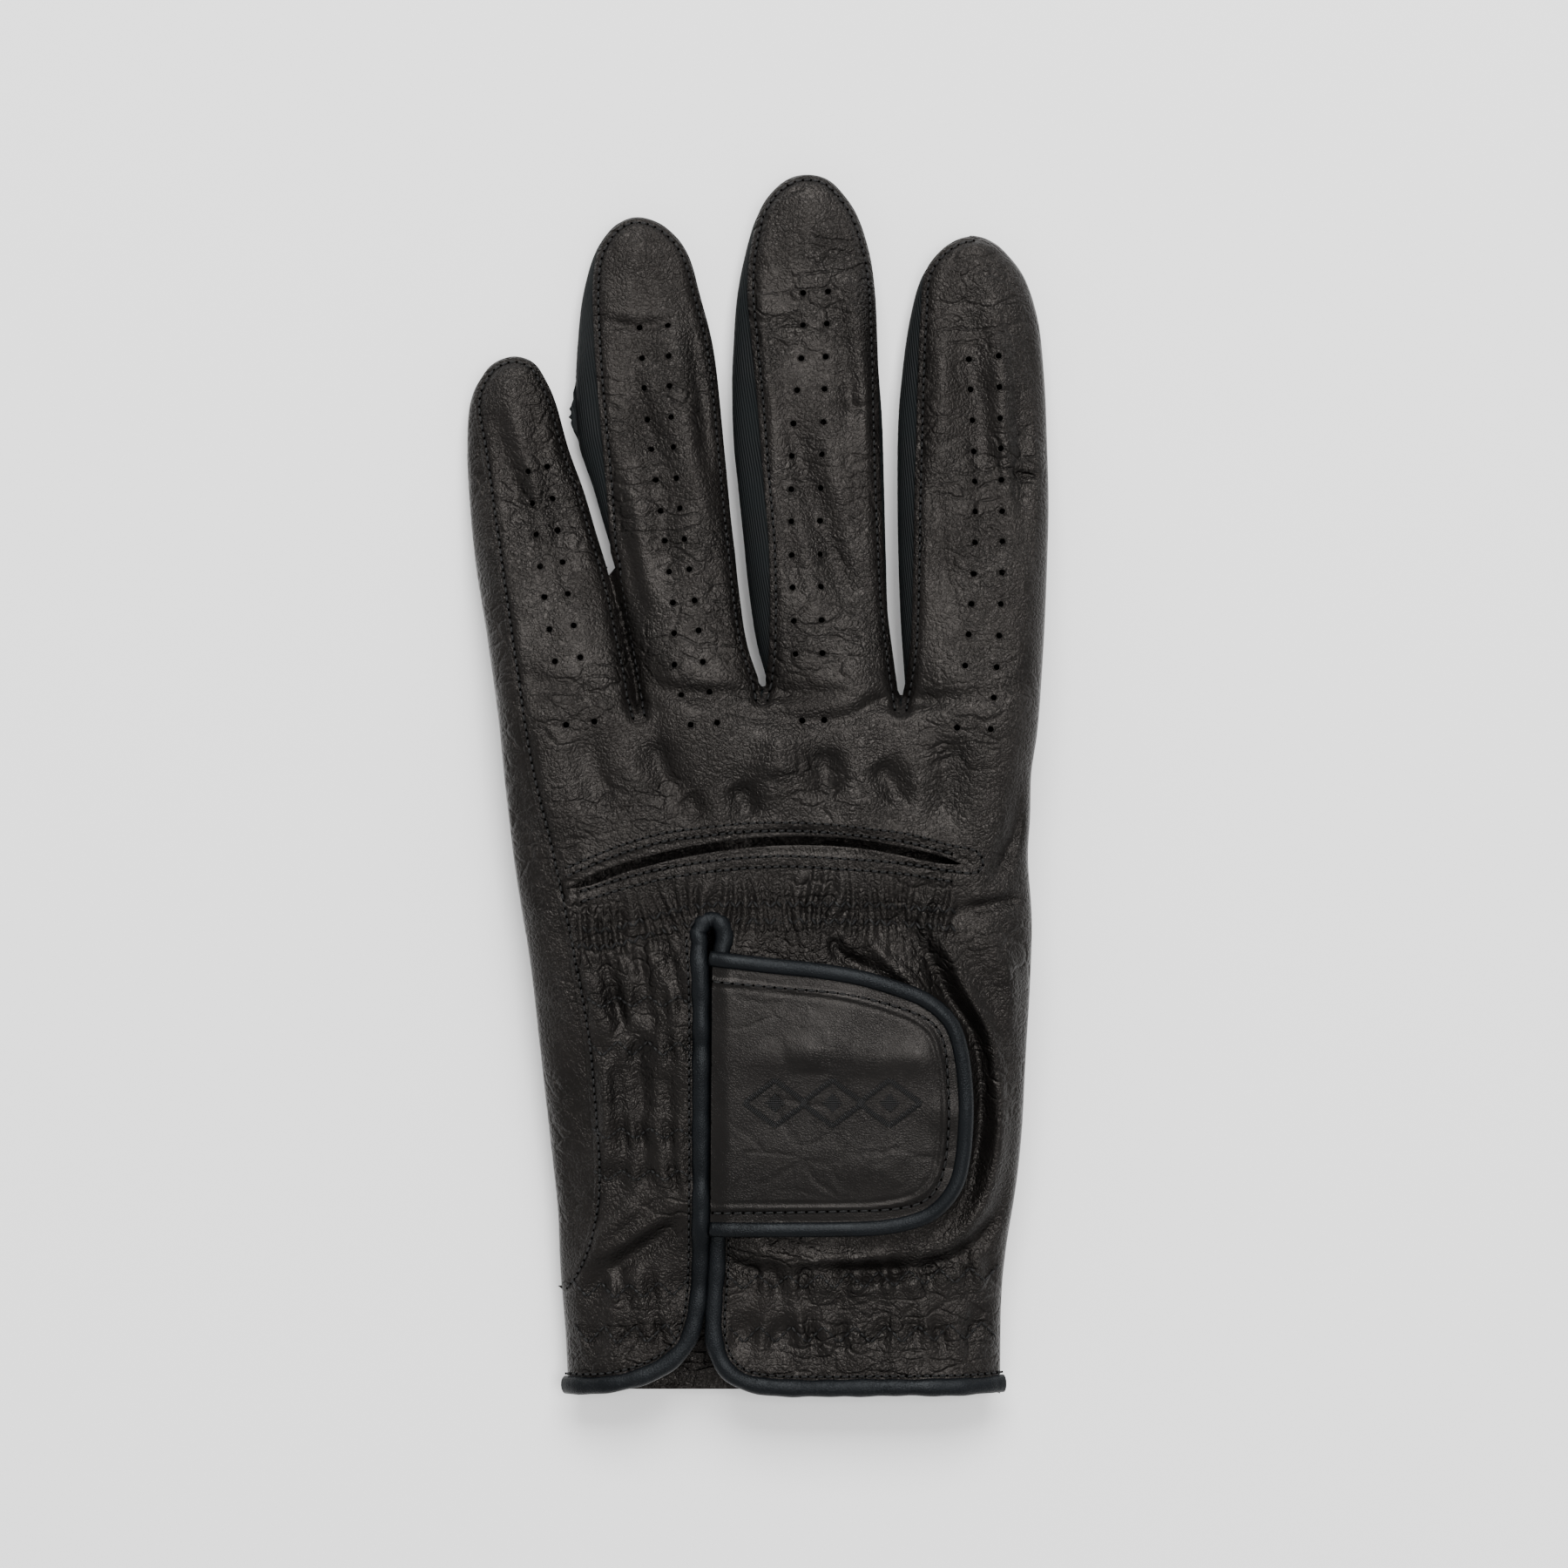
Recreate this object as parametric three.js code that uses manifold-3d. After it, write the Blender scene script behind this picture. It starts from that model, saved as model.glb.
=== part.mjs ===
// A leather golf glove for the left hand. It lies palm down, with its thumb folded under the palm.
// Millimetres. +Z is up out of the back of the hand, +Y points to the fingertips, and +X to the thumb side.
// Each panel is a thin sheet cut from a flattened tube, so the glove is hollow from its cuff to its fingertips.
import * as THREE from "three";
import { mergeVertices } from "three/addons/utils/BufferGeometryUtils.js";
import Module from "manifold-3d";

const wasm = await Module();
wasm.setup();

// Thicknesses and clearances.
const LEATHER = 0.8;
const FABRIC = 0.6;
const TAPE = 0.6;
const ELASTIC = 0.9;
const GAP = 0.35;
const SEAM_ANGLE = 0.08;
const FLATTEN = 1.015; // a section's rise is cut off at its half-height, so it has a level facet to lie on

// The hand: outline edges down its length, and how it lies over the folded thumb.
const CUFF_Y = -113.3;
const KNUCKLE_Y = 12.5;
const HAND_HALF_HEIGHT = 7;
const HAND_POWER = 5;
const HAND_LEFT = [
  [13.3, -48.2], [1.8, -46.9], [-9.8, -45.7], [-21.3, -43.9], [-32.8, -42.1], [-44.3, -40.7], [-55.8, -39.6],
  [-67.4, -38.5], [-78.9, -37.2], [-86.6, -36.2], [-98.1, -35.4], [-113.4, -34.6],
];
const HAND_RIGHT = [
  [13.3, 52.3], [1.8, 50.7], [-9.8, 50.3], [-21.3, 50.8], [-40.5, 50.3], [-52, 49.9], [-63.5, 49.4],
  [-71.2, 48.7], [-78.9, 47.5], [-86.6, 46.2], [-98.1, 45.7], [-113.4, 45.4],
];
// How far the back's seam runs inside the little-finger edge.
const SIDE_SEAM_INSET = [
  [13.3, 5.4], [0, 5.9], [-16, 7.7], [-32, 8.8], [-48, 9], [-64, 8.6], [-74, 8.2], [-83, 6.1], [-90, 1.2], [-98, 0.4],
];
const CUFF_MID = 7;
const HAND_MID = 14.4;
const RAMP_START = -100;
const RAMP_END = -29;

// The fingers: rows are height up the finger, left edge, right edge. Each tip is half an ellipse.
const TIP_HALF_HEIGHT = 5;
const FINGER_POWER = 2.5;
const FINGERS = [
  {
    name: "little", crotch: 13, pivot: 27, tip: 79.8, tipLength: 16.8, tipX: -45,
    rows: [[8, -47.6, -19.4], [13, -48.2, -20.4], [25, -49.8, -23.4], [40, -52.4, -27.4], [52, -53.7, -31], [63, -54.3, -34.3]],
  },
  {
    name: "ring", crotch: 17, pivot: 31, tip: 105.8, tipLength: 25.8, tipX: -22.3,
    rows: [
      [8, -20.2, 0.4], [18, -21.2, 0.6], [25, -22.8, -1.2], [35, -25.4, -2.4], [45, -28, -3.4], [54, -31, -4.4],
      [67, -34.1, -5.4], [80, -34, -7.2],
    ],
  },
  {
    name: "middle", crotch: 17, pivot: 31, tip: 113.6, tipLength: 25.4, tipX: 10,
    rows: [
      [8, 0.6, 26.6], [18, 1.2, 26.4], [25, -0.6, 25.6], [35, -1.8, 25.1], [45, -2.7, 24.7], [55, -3.7, 24.5],
      [70, -5, 24], [88, -4.4, 22.9],
    ],
  },
  {
    name: "index", crotch: 16, pivot: 29.5, tip: 101.4, tipLength: 25.4, tipX: 39.8,
    rows: [[8, 27.4, 51.7], [16, 27.4, 52.5], [28.6, 26.2, 53.2], [41, 25.5, 53.8], [52, 25.4, 54.3], [67, 25.8, 53.9], [76, 26.6, 53.4]],
  },
];
const SEAM_INNER = 0.64; // share of the half-width where the near seam lies
const SEAM_OUTER = 0.93; // and where the far seam lies
const FRONT_OVERRUN = 3; // the palm-side sheet of a finger starts this far behind its bending line
const FRONT_CLEAR = 7.2; // and the palm ends this far behind it
const WALL_CLEAR = 8;

// The thumb, folded under the palm. Stations run from its root to its tip.
const THUMB_ROOT = new THREE.Vector2(40, -26);
const THUMB_WAY = new THREE.Vector2(-60, 33).normalize();
const THUMB_LENGTH = 70;
const THUMB_TIP_LENGTH = 16;
const THUMB_HALF_WIDTHS = [[0, 16.5], [18, 14.5], [36, 12.8], [54, 12]];
const THUMB_HALF_HEIGHTS = [[0, 2.5], [28, 3.5], [70, 3.5]];
const THUMB_WINDOW = 17; // its palm-facing sheet starts here, under the hole in the palm

const leather = (color) => new THREE.MeshStandardMaterial({ color, roughness: 0.5, metalness: 0 });
const MATERIALS = {
  leather: leather(0x1d1b19),
  binding: leather(0x1a1e21),
  fabric: new THREE.MeshStandardMaterial({ color: 0x11191a, roughness: 0.85, metalness: 0 }),
  elastic: new THREE.MeshStandardMaterial({ color: 0x121212, roughness: 0.9, metalness: 0 }),
  nylon: new THREE.MeshStandardMaterial({ color: 0x0e0f10, roughness: 0.95, metalness: 0 }),
};

// The value of a table of [key, value...] rows at a key, on straight lines between its rows.
function along(table, key, column = 1) {
  const rows = [...table].sort((a, b) => a[0] - b[0]);
  if (key <= rows[0][0]) return rows[0][column];
  for (let i = 1; i < rows.length; i++) {
    if (key > rows[i][0]) continue;
    const share = (key - rows[i - 1][0]) / (rows[i][0] - rows[i - 1][0]);
    return THREE.MathUtils.lerp(rows[i - 1][column], rows[i][column], share);
  }
  return rows.at(-1)[column];
}

const spaced = (from, to, count) => Array.from({ length: count + 1 }, (_, i) => THREE.MathUtils.lerp(from, to, i / count));

// Height of the hand's middle plane: level at the cuff and over the thumb, with a straight ramp between them.
function handMid(y) {
  const share = THREE.MathUtils.clamp((y - RAMP_START) / (RAMP_END - RAMP_START), 0, 1);
  return THREE.MathUtils.lerp(CUFF_MID, HAND_MID, share);
}

function handStation(y) {
  const left = along(HAND_LEFT, y);
  const right = along(HAND_RIGHT, y);
  const x = (left + right) / 2;
  return {
    x, y, z: handMid(y), halfWidth: (right - left) / 2, halfHeight: HAND_HALF_HEIGHT, power: HAND_POWER,
    side: new THREE.Vector2(1, 0),
  };
}

// A finger's middle plane comes down from the knuckles until its tip rests on the ground.
function fingerStation(finger, y) {
  const tipStart = finger.tip - finger.tipLength;
  const reach = THREE.MathUtils.clamp((y - tipStart) / finger.tipLength, 0, 1);
  const rounding = Math.sqrt(1 - reach * reach);
  const [left, right] = [along(finger.rows, y, 1), along(finger.rows, y, 2)];
  const x = THREE.MathUtils.lerp((left + right) / 2, finger.tipX, reach * reach);
  const share = THREE.MathUtils.clamp((y - KNUCKLE_Y) / (finger.tip - 18 - KNUCKLE_Y), 0, 1);
  const halfHeight = THREE.MathUtils.lerp(HAND_HALF_HEIGHT, TIP_HALF_HEIGHT, share);
  return {
    x, y, z: THREE.MathUtils.lerp(HAND_MID, halfHeight, share), halfWidth: ((right - left) / 2) * rounding,
    halfHeight: halfHeight * rounding ** 0.8, power: FINGER_POWER, side: new THREE.Vector2(1, 0),
  };
}

function thumbStation(s) {
  const tipStart = THUMB_LENGTH - THUMB_TIP_LENGTH;
  const reach = THREE.MathUtils.clamp((s - tipStart) / THUMB_TIP_LENGTH, 0, 1);
  const rounding = Math.sqrt(1 - reach * reach);
  const at = THUMB_ROOT.clone().addScaledVector(THUMB_WAY, s);
  const halfHeight = along(THUMB_HALF_HEIGHTS, s);
  return {
    x: at.x, y: at.y, z: halfHeight, halfWidth: along(THUMB_HALF_WIDTHS, s) * rounding,
    halfHeight: halfHeight * rounding ** 0.8, power: FINGER_POWER, side: new THREE.Vector2(-THUMB_WAY.y, THUMB_WAY.x).negate(),
  };
}

// A point on a station's section, at an angle from its +side edge, at a depth under the skin.
function onSection(station, angle, depth) {
  const cos = Math.cos(angle);
  const across = Math.sign(cos) * Math.abs(cos) ** (2 / station.power) * Math.max(station.halfWidth - depth, 0.05);
  const rise = THREE.MathUtils.clamp(Math.sin(angle) * FLATTEN, -1, 1);
  const up = rise * Math.max(station.halfHeight - depth, 0.05);
  return new THREE.Vector3(station.x + across * station.side.x, station.y + across * station.side.y, station.z + up);
}

// The angle of the upper skin at a share of the half-width, -1 at the far edge and 1 at the near one.
function angleAt(share, power) {
  return Math.acos(Math.sign(share) * Math.abs(share) ** (power / 2));
}

// Angles from one to another, spaced evenly along the skin.
function evenAngles(station, from, to, count) {
  const fine = spaced(from, to, 80);
  const points = fine.map((angle) => onSection(station, angle, 0));
  const run = [0];
  for (let i = 1; i < points.length; i++) run.push(run[i - 1] + points[i].distanceTo(points[i - 1]));
  return spaced(0, run.at(-1), count).map((length) => along(run.map((r, i) => [r, fine[i]]), length));
}

// A closed solid from a grid of outer points and the same grid of inner points.
function sheetGeometry(outer, inner) {
  const [rows, columns] = [outer.length, outer[0].length];
  const positions = [...outer.flat(), ...inner.flat()].flatMap((p) => [p.x, p.y, p.z]);
  const top = (r, c) => r * columns + c;
  const under = (r, c) => rows * columns + r * columns + c;
  const faces = [];
  const quad = (a, b, c, d) => faces.push(a, b, c, a, c, d);
  for (let r = 0; r + 1 < rows; r++)
    for (let c = 0; c + 1 < columns; c++) {
      quad(top(r, c), top(r, c + 1), top(r + 1, c + 1), top(r + 1, c));
      quad(under(r, c), under(r + 1, c), under(r + 1, c + 1), under(r, c + 1));
    }
  for (let r = 0; r + 1 < rows; r++) {
    quad(top(r, 0), top(r + 1, 0), under(r + 1, 0), under(r, 0));
    quad(top(r + 1, columns - 1), top(r, columns - 1), under(r, columns - 1), under(r + 1, columns - 1));
  }
  for (let c = 0; c + 1 < columns; c++) {
    quad(top(0, c + 1), top(0, c), under(0, c), under(0, c + 1));
    quad(top(rows - 1, c), top(rows - 1, c + 1), under(rows - 1, c + 1), under(rows - 1, c));
  }
  const geometry = new THREE.BufferGeometry();
  geometry.setAttribute("position", new THREE.Float32BufferAttribute(positions, 3));
  geometry.setIndex(faces);
  return facingOut(geometry);
}

function signedVolume(geometry) {
  const position = geometry.getAttribute("position");
  const index = geometry.index.array;
  const [a, b, c] = [new THREE.Vector3(), new THREE.Vector3(), new THREE.Vector3()];
  let sum = 0;
  for (let i = 0; i < index.length; i += 3) {
    a.fromBufferAttribute(position, index[i]);
    b.fromBufferAttribute(position, index[i + 1]);
    c.fromBufferAttribute(position, index[i + 2]);
    sum += a.dot(b.cross(c)) / 6;
  }
  return sum;
}

function facingOut(geometry) {
  if (signedVolume(geometry) > 0) return geometry;
  const index = geometry.index.array;
  for (let i = 0; i < index.length; i += 3) [index[i + 1], index[i + 2]] = [index[i + 2], index[i + 1]];
  return geometry;
}

// A sheet of a tube between two angles, over a list of stations.
function tubeSheet(stations, from, to, columns, thickness, depth = 0) {
  const angles = stations.map((station) => {
    const [start, end] = [from, to].map((limit) => (typeof limit === "function" ? limit(station) : limit));
    return evenAngles(station, start, end, columns);
  });
  const layer = (under) => stations.map((station, i) => angles[i].map((angle) => onSection(station, angle, under)));
  return sheetGeometry(layer(depth), layer(depth + thickness));
}

// Height of the back's outer skin.
function backTop(x, y) {
  const station = handStation(y);
  const share = Math.min(Math.abs((x - station.x) / station.halfWidth), 1);
  return station.z + station.halfHeight * Math.min(FLATTEN * Math.sqrt(1 - share ** station.power), 1);
}

// A patch that follows the back's skin: place(u, v) gives its plan, and lift is how far its underside stands off.
function drapedPatch(place, columns, rows, lift, thickness) {
  const layer = (height) =>
    spaced(0, 1, rows).map((v) =>
      spaced(0, 1, columns).map((u) => {
        const [x, y] = place(u, v);
        return new THREE.Vector3(x, y, backTop(x, y) + height);
      }),
    );
  return sheetGeometry(layer(lift + thickness), layer(lift));
}

function toSolid(geometry) {
  const bare = geometry.clone();
  bare.deleteAttribute("normal");
  bare.deleteAttribute("uv");
  const merged = mergeVertices(bare, 1e-4);
  const mesh = new wasm.Mesh({
    numProp: 3, vertProperties: merged.attributes.position.array, triVerts: new Uint32Array(merged.index.array),
  });
  return new wasm.Manifold(mesh);
}

function toGeometry(solid) {
  const mesh = solid.getMesh();
  const geometry = new THREE.BufferGeometry();
  geometry.setAttribute("position", new THREE.Float32BufferAttribute(mesh.vertProperties, 3));
  geometry.setIndex(new THREE.BufferAttribute(mesh.triVerts, 1));
  return geometry;
}

const joined = (geometries) => toGeometry(geometries.map(toSolid).reduce((all, next) => all.add(next)));

// A flat outline as a tall prism, for cutting through the back.
function prism(outline) {
  const shape = new THREE.Shape(outline.map(([x, y]) => new THREE.Vector2(x, y)));
  const geometry = new THREE.ExtrudeGeometry(shape, { depth: 60, bevelEnabled: false });
  return geometry.translate(0, 0, -20);
}

function cut(geometry, ...cutters) {
  return toGeometry(cutters.map(toSolid).reduce((left, cutter) => left.subtract(cutter), toSolid(geometry)));
}

// A round cord of leather along a line of points, as an edge binding.
function cordGeometry(points, radius, steps) {
  const corners = spaced(0, 2 * Math.PI, 6).slice(0, 6);
  const section = new THREE.Shape(corners.map((a) => new THREE.Vector2(radius * Math.cos(a), radius * Math.sin(a))));
  const path = new THREE.CatmullRomCurve3(points, false, "centripetal");
  return new THREE.ExtrudeGeometry(section, { steps, extrudePath: path, bevelEnabled: false });
}

const glove = new THREE.Group();

function add(name, geometry, material) {
  const mesh = new THREE.Mesh(geometry, material);
  mesh.name = name;
  glove.add(mesh);
}

// ---- Fingers: the part past each bending line, which moves.
const innerTop = angleAt(-SEAM_INNER, FINGER_POWER);
const outerTop = angleAt(SEAM_OUTER, FINGER_POWER);
const outerBottom = 2 * Math.PI - angleAt(-SEAM_OUTER, FINGER_POWER);
const innerBottom = -angleAt(SEAM_INNER, FINGER_POWER);
const TIP_SHARE = 0.985;

function fingerStations(finger, from, count) {
  const tipStart = finger.tip - finger.tipLength;
  const straight = spaced(from, tipStart, count);
  const rounded = [0.35, 0.62, 0.82, 0.94, TIP_SHARE].map((share) => tipStart + share * finger.tipLength);
  return [...straight, ...rounded].map((y) => fingerStation(finger, y));
}

for (const finger of FINGERS) {
  const { name, pivot } = finger;
  const isIndex = name === "index";
  const topRight = isIndex ? SEAM_ANGLE / 2 : outerTop;
  const bottomRight = (station) => (isIndex && station.y > pivot ? -SEAM_ANGLE / 2 : innerBottom);
  const stations = fingerStations(finger, pivot + 0.2, 4);
  const frontStations = fingerStations(finger, pivot - FRONT_OVERRUN, 4);
  add(`${name}_back`, tubeSheet(stations, topRight, innerTop, 5, LEATHER), MATERIALS.leather);
  add(`${name}_front`, tubeSheet(frontStations, bottomRight, outerBottom - 2 * Math.PI, 5, LEATHER), MATERIALS.leather);
  const leftWall = tubeSheet(stations, innerTop + SEAM_ANGLE, outerBottom - SEAM_ANGLE, 3, FABRIC);
  if (name === "little") add("little_outer_side", leftWall, MATERIALS.leather);
  else add(`${name}_fourchette_outer`, leftWall, MATERIALS.fabric);
  if (isIndex) continue;
  const rightWall = tubeSheet(stations, innerBottom + SEAM_ANGLE, outerTop - SEAM_ANGLE, 3, FABRIC);
  add(name === "little" ? "little_fourchette" : `${name}_fourchette_inner`, rightWall, MATERIALS.fabric);
}

// ---- Fourchettes between the fingers: forks of fabric round each crotch, up to the bending lines.
function fork(left, right) {
  const bottomY = Math.max(left.crotch, right.crotch) - 2;
  const legs = [
    tubeSheet(
      spaced(bottomY, left.pivot - WALL_CLEAR, 2).map((y) => fingerStation(left, y)),
      innerBottom + SEAM_ANGLE, outerTop - SEAM_ANGLE, 3, FABRIC,
    ),
    tubeSheet(
      spaced(bottomY, right.pivot - WALL_CLEAR, 2).map((y) => fingerStation(right, y)),
      innerTop + SEAM_ANGLE, outerBottom - SEAM_ANGLE, 3, FABRIC,
    ),
  ];
  const [a, b] = [fingerStation(left, bottomY + 0.6), fingerStation(right, bottomY + 0.6)];
  const x = (a.x + a.halfWidth + b.x - b.halfWidth) / 2;
  const web = new THREE.BoxGeometry(3, 1.6, 3.6).translate(x, bottomY + 0.8, a.z);
  return joined([...legs, web]);
}

const [little, ring, middle, index] = FINGERS;
add("fourchette_little_ring", fork(little, ring), MATERIALS.fabric);
add("fourchette_ring_middle", fork(ring, middle), MATERIALS.fabric);
add("fourchette_middle_index", fork(middle, index), MATERIALS.fabric);

// ---- Hand panels.
const handStations = (from, to, count) => spaced(from, to, count).map(handStation);
const sideSeam = (station) => {
  const inset = along(SIDE_SEAM_INSET, station.y);
  return angleAt(-(station.halfWidth - inset) / station.halfWidth, station.power);
};
const PALM_SEAM = angleAt(-0.9, HAND_POWER);

// The knuckle vent, a slit that follows the knuckles, and the wrist opening with its rounded cuff corners.
const VENT = [
  [-34, -18], [-28.3, -16], [-20.3, -13.6], [-12.3, -12], [-4.3, -10.9], [3.7, -10.3], [11.7, -10.3], [19.7, -11.2],
  [27.7, -12.5], [34.1, -13.6], [37.5, -14.4], [37.5, -15.4], [29.3, -14.9], [21.3, -14], [13.3, -13.7], [5.3, -12.5],
  [-2.7, -12.6], [-10.7, -13.4], [-18.7, -15], [-26.7, -17.4], [-34, -19.4],
];
const OPENING = [
  [-60, -110], [-34.2, -109.9], [-27, -109.2], [-21, -107.7], [-16.8, -105.6], [-13.2, -101.8], [-11.6, -96],
  [-11, -88], [-10.9, -34], [-12, -29.5], [-11.6, -25.6], [-8, -23.2], [-4, -25.2], [-3.3, -29.5], [-4.3, -34],
  [-4.6, -80], [-4.8, -88], [-4.8, -95.6], [-3.7, -101.4], [-1, -105.6], [3.2, -108.7], [8, -109.6], [60, -110],
  [60, -130], [-60, -130],
];

function backPanel() {
  const hand = tubeSheet(handStations(CUFF_Y + 1, KNUCKLE_Y, 14), SEAM_ANGLE / 2, sideSeam, 12, LEATHER);
  const stubs = FINGERS.map((finger) => {
    const stations = spaced(finger.rows[0][0], finger.pivot - 0.2, 3).map((y) => fingerStation(finger, y));
    return tubeSheet(stations, finger.name === "index" ? SEAM_ANGLE / 2 : outerTop, innerTop, 5, LEATHER);
  });
  return cut(joined([hand, ...stubs]), prism(VENT), prism(OPENING));
}

const THUMB_HOLE = new THREE.Vector2(31.5, -21.5);
const THUMB_HOLE_RADII = [7, 11];

function palmPanel() {
  const from = PALM_SEAM - 2 * Math.PI;
  const hand = tubeSheet(handStations(CUFF_Y + 0.05, KNUCKLE_Y - 1, 14), -SEAM_ANGLE / 2, -PALM_SEAM, 12, LEATHER);
  const stubs = FINGERS.map((finger) => {
    const stations = spaced(finger.rows[0][0], finger.pivot - FRONT_CLEAR, 2).map((y) => fingerStation(finger, y));
    const right = finger.name === "index" ? -SEAM_ANGLE / 2 : innerBottom;
    return tubeSheet(stations, right, outerBottom - 2 * Math.PI, 5, LEATHER);
  });
  const hole = new THREE.CylinderGeometry(1, 1, 9, 20).rotateX(Math.PI / 2).scale(THUMB_HOLE_RADII[0], THUMB_HOLE_RADII[1], 1);
  hole.translate(THUMB_HOLE.x, THUMB_HOLE.y, HAND_MID - HAND_HALF_HEIGHT);
  return cut(joined([hand, ...stubs]), hole);
}

add("back_panel", backPanel(), MATERIALS.leather);
add("palm_panel", palmPanel(), MATERIALS.leather);
// The outer side panel runs on up the root of the little finger, where its section changes to the finger's.
const isFinger = (station) => station.power === FINGER_POWER;
const sideGeometry = tubeSheet(
  [
    ...handStations(CUFF_Y + 4, little.rows[0][0] - 0.9, 12),
    ...spaced(little.rows[0][0] - 0.3, little.pivot - WALL_CLEAR, 2).map((y) => fingerStation(little, y)),
  ],
  (station) => (isFinger(station) ? innerTop : sideSeam(station)) + SEAM_ANGLE,
  (station) => (isFinger(station) ? outerBottom : 2 * Math.PI - PALM_SEAM) - SEAM_ANGLE, 4, LEATHER,
);
add("outer_side_panel", sideGeometry, MATERIALS.leather);

// ---- Tapes and elastics under the back, from the knuckle vent down to the cuff.
const INSIDE = -LEATHER - GAP;
const ventLine = (x) => -10.6 - ((x - 8) / 44) ** 2 * 8;
const strip = (x0, x1, line, y0, y1) => (u, v) => {
  const x = THREE.MathUtils.lerp(x0, x1, u);
  return [x, line(x) + THREE.MathUtils.lerp(y0, y1, v)];
};
const straight = (y) => () => y;
add("vent_facing_upper", drapedPatch(strip(-31, 38, ventLine, 0.9, 4.4), 8, 1, INSIDE - TAPE, TAPE), MATERIALS.fabric);
add("vent_facing_lower", drapedPatch(strip(-31, 38, ventLine, -6, -2.6), 8, 1, INSIDE - TAPE, TAPE), MATERIALS.fabric);
const elasticLine = (x) => -23.6 - ((x - 12) / 46) ** 2 * 3.5;
const elastics = [
  ["knuckle_elastic_outer", strip(-32, -13, elasticLine, -4.2, 2.6), 3],
  ["knuckle_elastic_inner", strip(-2, 37, elasticLine, -3.6, 2.6), 4],
  ["wrist_elastic_upper", strip(-29, -12.6, straight(-44.8), -4.6, 4.6), 3],
  ["wrist_elastic_lower", strip(-27.6, -12.6, straight(-67.6), -4.6, 4.6), 3],
  ["cuff_elastic_outer", strip(-29.4, -14.6, straight(-96), -4.6, 4.6), 3],
  ["cuff_elastic_inner", strip(-2.8, 39, straight(-96.4), -4.8, 4.8), 6],
];
for (const [name, place, columns] of elastics)
  add(name, drapedPatch(place, columns, 2, INSIDE - ELASTIC, ELASTIC), MATERIALS.elastic);

// ---- Cuff: its binding runs round the wrist opening, the palm has a turned hem, and a label is sewn inside.
const BINDING_RADIUS = 1.35;
const BINDING_LINE = [
  [-33.2, -111.7], [-26.7, -111], [-20.3, -109.5], [-15.4, -107], [-11.6, -102.6], [-9.9, -96.2], [-9.4, -88],
  [-9.2, -80], [-9.2, -36], [-10.2, -29.6], [-9.9, -26.6], [-7.8, -25.2], [-5.6, -26.6], [-5.2, -29.6], [-6.1, -36],
  [-6.3, -80], [-6.4, -88], [-6.5, -96], [-5.2, -102.5], [-2.2, -107.3], [2.6, -110.5], [7.4, -111.5], [21, -111.8],
  [43.6, -111.8],
];
const bindingPoints = BINDING_LINE.map(([x, y]) => new THREE.Vector3(x, y, backTop(x, y) - 0.4));
add("opening_binding", cordGeometry(bindingPoints, BINDING_RADIUS - 0.1, 64), MATERIALS.binding);
const hemStations = handStations(CUFF_Y + 0.6, CUFF_Y + 3.6, 1);
add("palm_hem", tubeSheet(hemStations, -0.66, -PALM_SEAM, 8, LEATHER, LEATHER + GAP), MATERIALS.leather);
const labelSpan = [angleAt(0.1, HAND_POWER), angleAt(-0.25, HAND_POWER)];
const labelStations = handStations(CUFF_Y + 5, CUFF_Y + 21, 2);
add("size_label", tubeSheet(labelStations, -labelSpan[0], -labelSpan[1], 2, 0.4, LEATHER + GAP), MATERIALS.fabric);

// ---- Closure tab: leather over a backing, bound at its edge, with hooks that press into a loop patch on the back.
const TAB_ROOT_X = -7.4;
const TAB_LIFT = 1.9;
const TAB_BODY = [
  [-79.6, 27], [-77.6, 31], [-74, 33.4], [-69, 35], [-61, 36], [-53, 35.4], [-47, 33.6], [-42.6, 30], [-39.4, 23],
  [-37.2, 12], [-35.4, 2], [-34.3, -6],
];
const tabPlace = (inset) => (u, v) => {
  const y = THREE.MathUtils.lerp(TAB_BODY[0][0] + inset, TAB_BODY.at(-1)[0] - inset, v);
  return [THREE.MathUtils.lerp(TAB_ROOT_X + inset, along(TAB_BODY, y) - inset, u), y];
};
add("tab_backing", drapedPatch(tabPlace(0.4), 5, 9, TAB_LIFT, FABRIC), MATERIALS.fabric);
add("tab_leather", drapedPatch(tabPlace(0), 5, 9, TAB_LIFT + FABRIC + GAP, LEATHER), MATERIALS.leather);
const TAB_BINDING_LINE = [
  [-6.6, -32.7], [4, -34], [16, -35.8], [25, -38.2], [31.5, -41.4], [35.8, -46], [37.6, -53], [38.1, -61], [37.2, -69],
  [35.2, -75.4], [32.2, -79.2], [27.2, -81.3], [16, -81.6], [4, -81.7], [-6.6, -81.7],
];
const tabBinding = TAB_BINDING_LINE.map(([x, y]) => new THREE.Vector3(x, y, backTop(x, y) + TAB_LIFT + 0.9));
add("tab_binding", cordGeometry(tabBinding, BINDING_RADIUS, 40), MATERIALS.binding);
const HOOK = { x0: 10, x1: 29, y0: -74, y1: -44 };
const patch = (x0, x1, y0, y1) => (u, v) => [THREE.MathUtils.lerp(x0, x1, u), THREE.MathUtils.lerp(y0, y1, v)];
add("hook_patch", drapedPatch(patch(HOOK.x0, HOOK.x1, HOOK.y0, HOOK.y1), 3, 4, TAB_LIFT - GAP - 0.5, 0.5), MATERIALS.nylon);
add("loop_patch", drapedPatch(patch(-2.5, 32, -77, -41), 5, 4, GAP, 0.4), MATERIALS.nylon);

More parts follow.
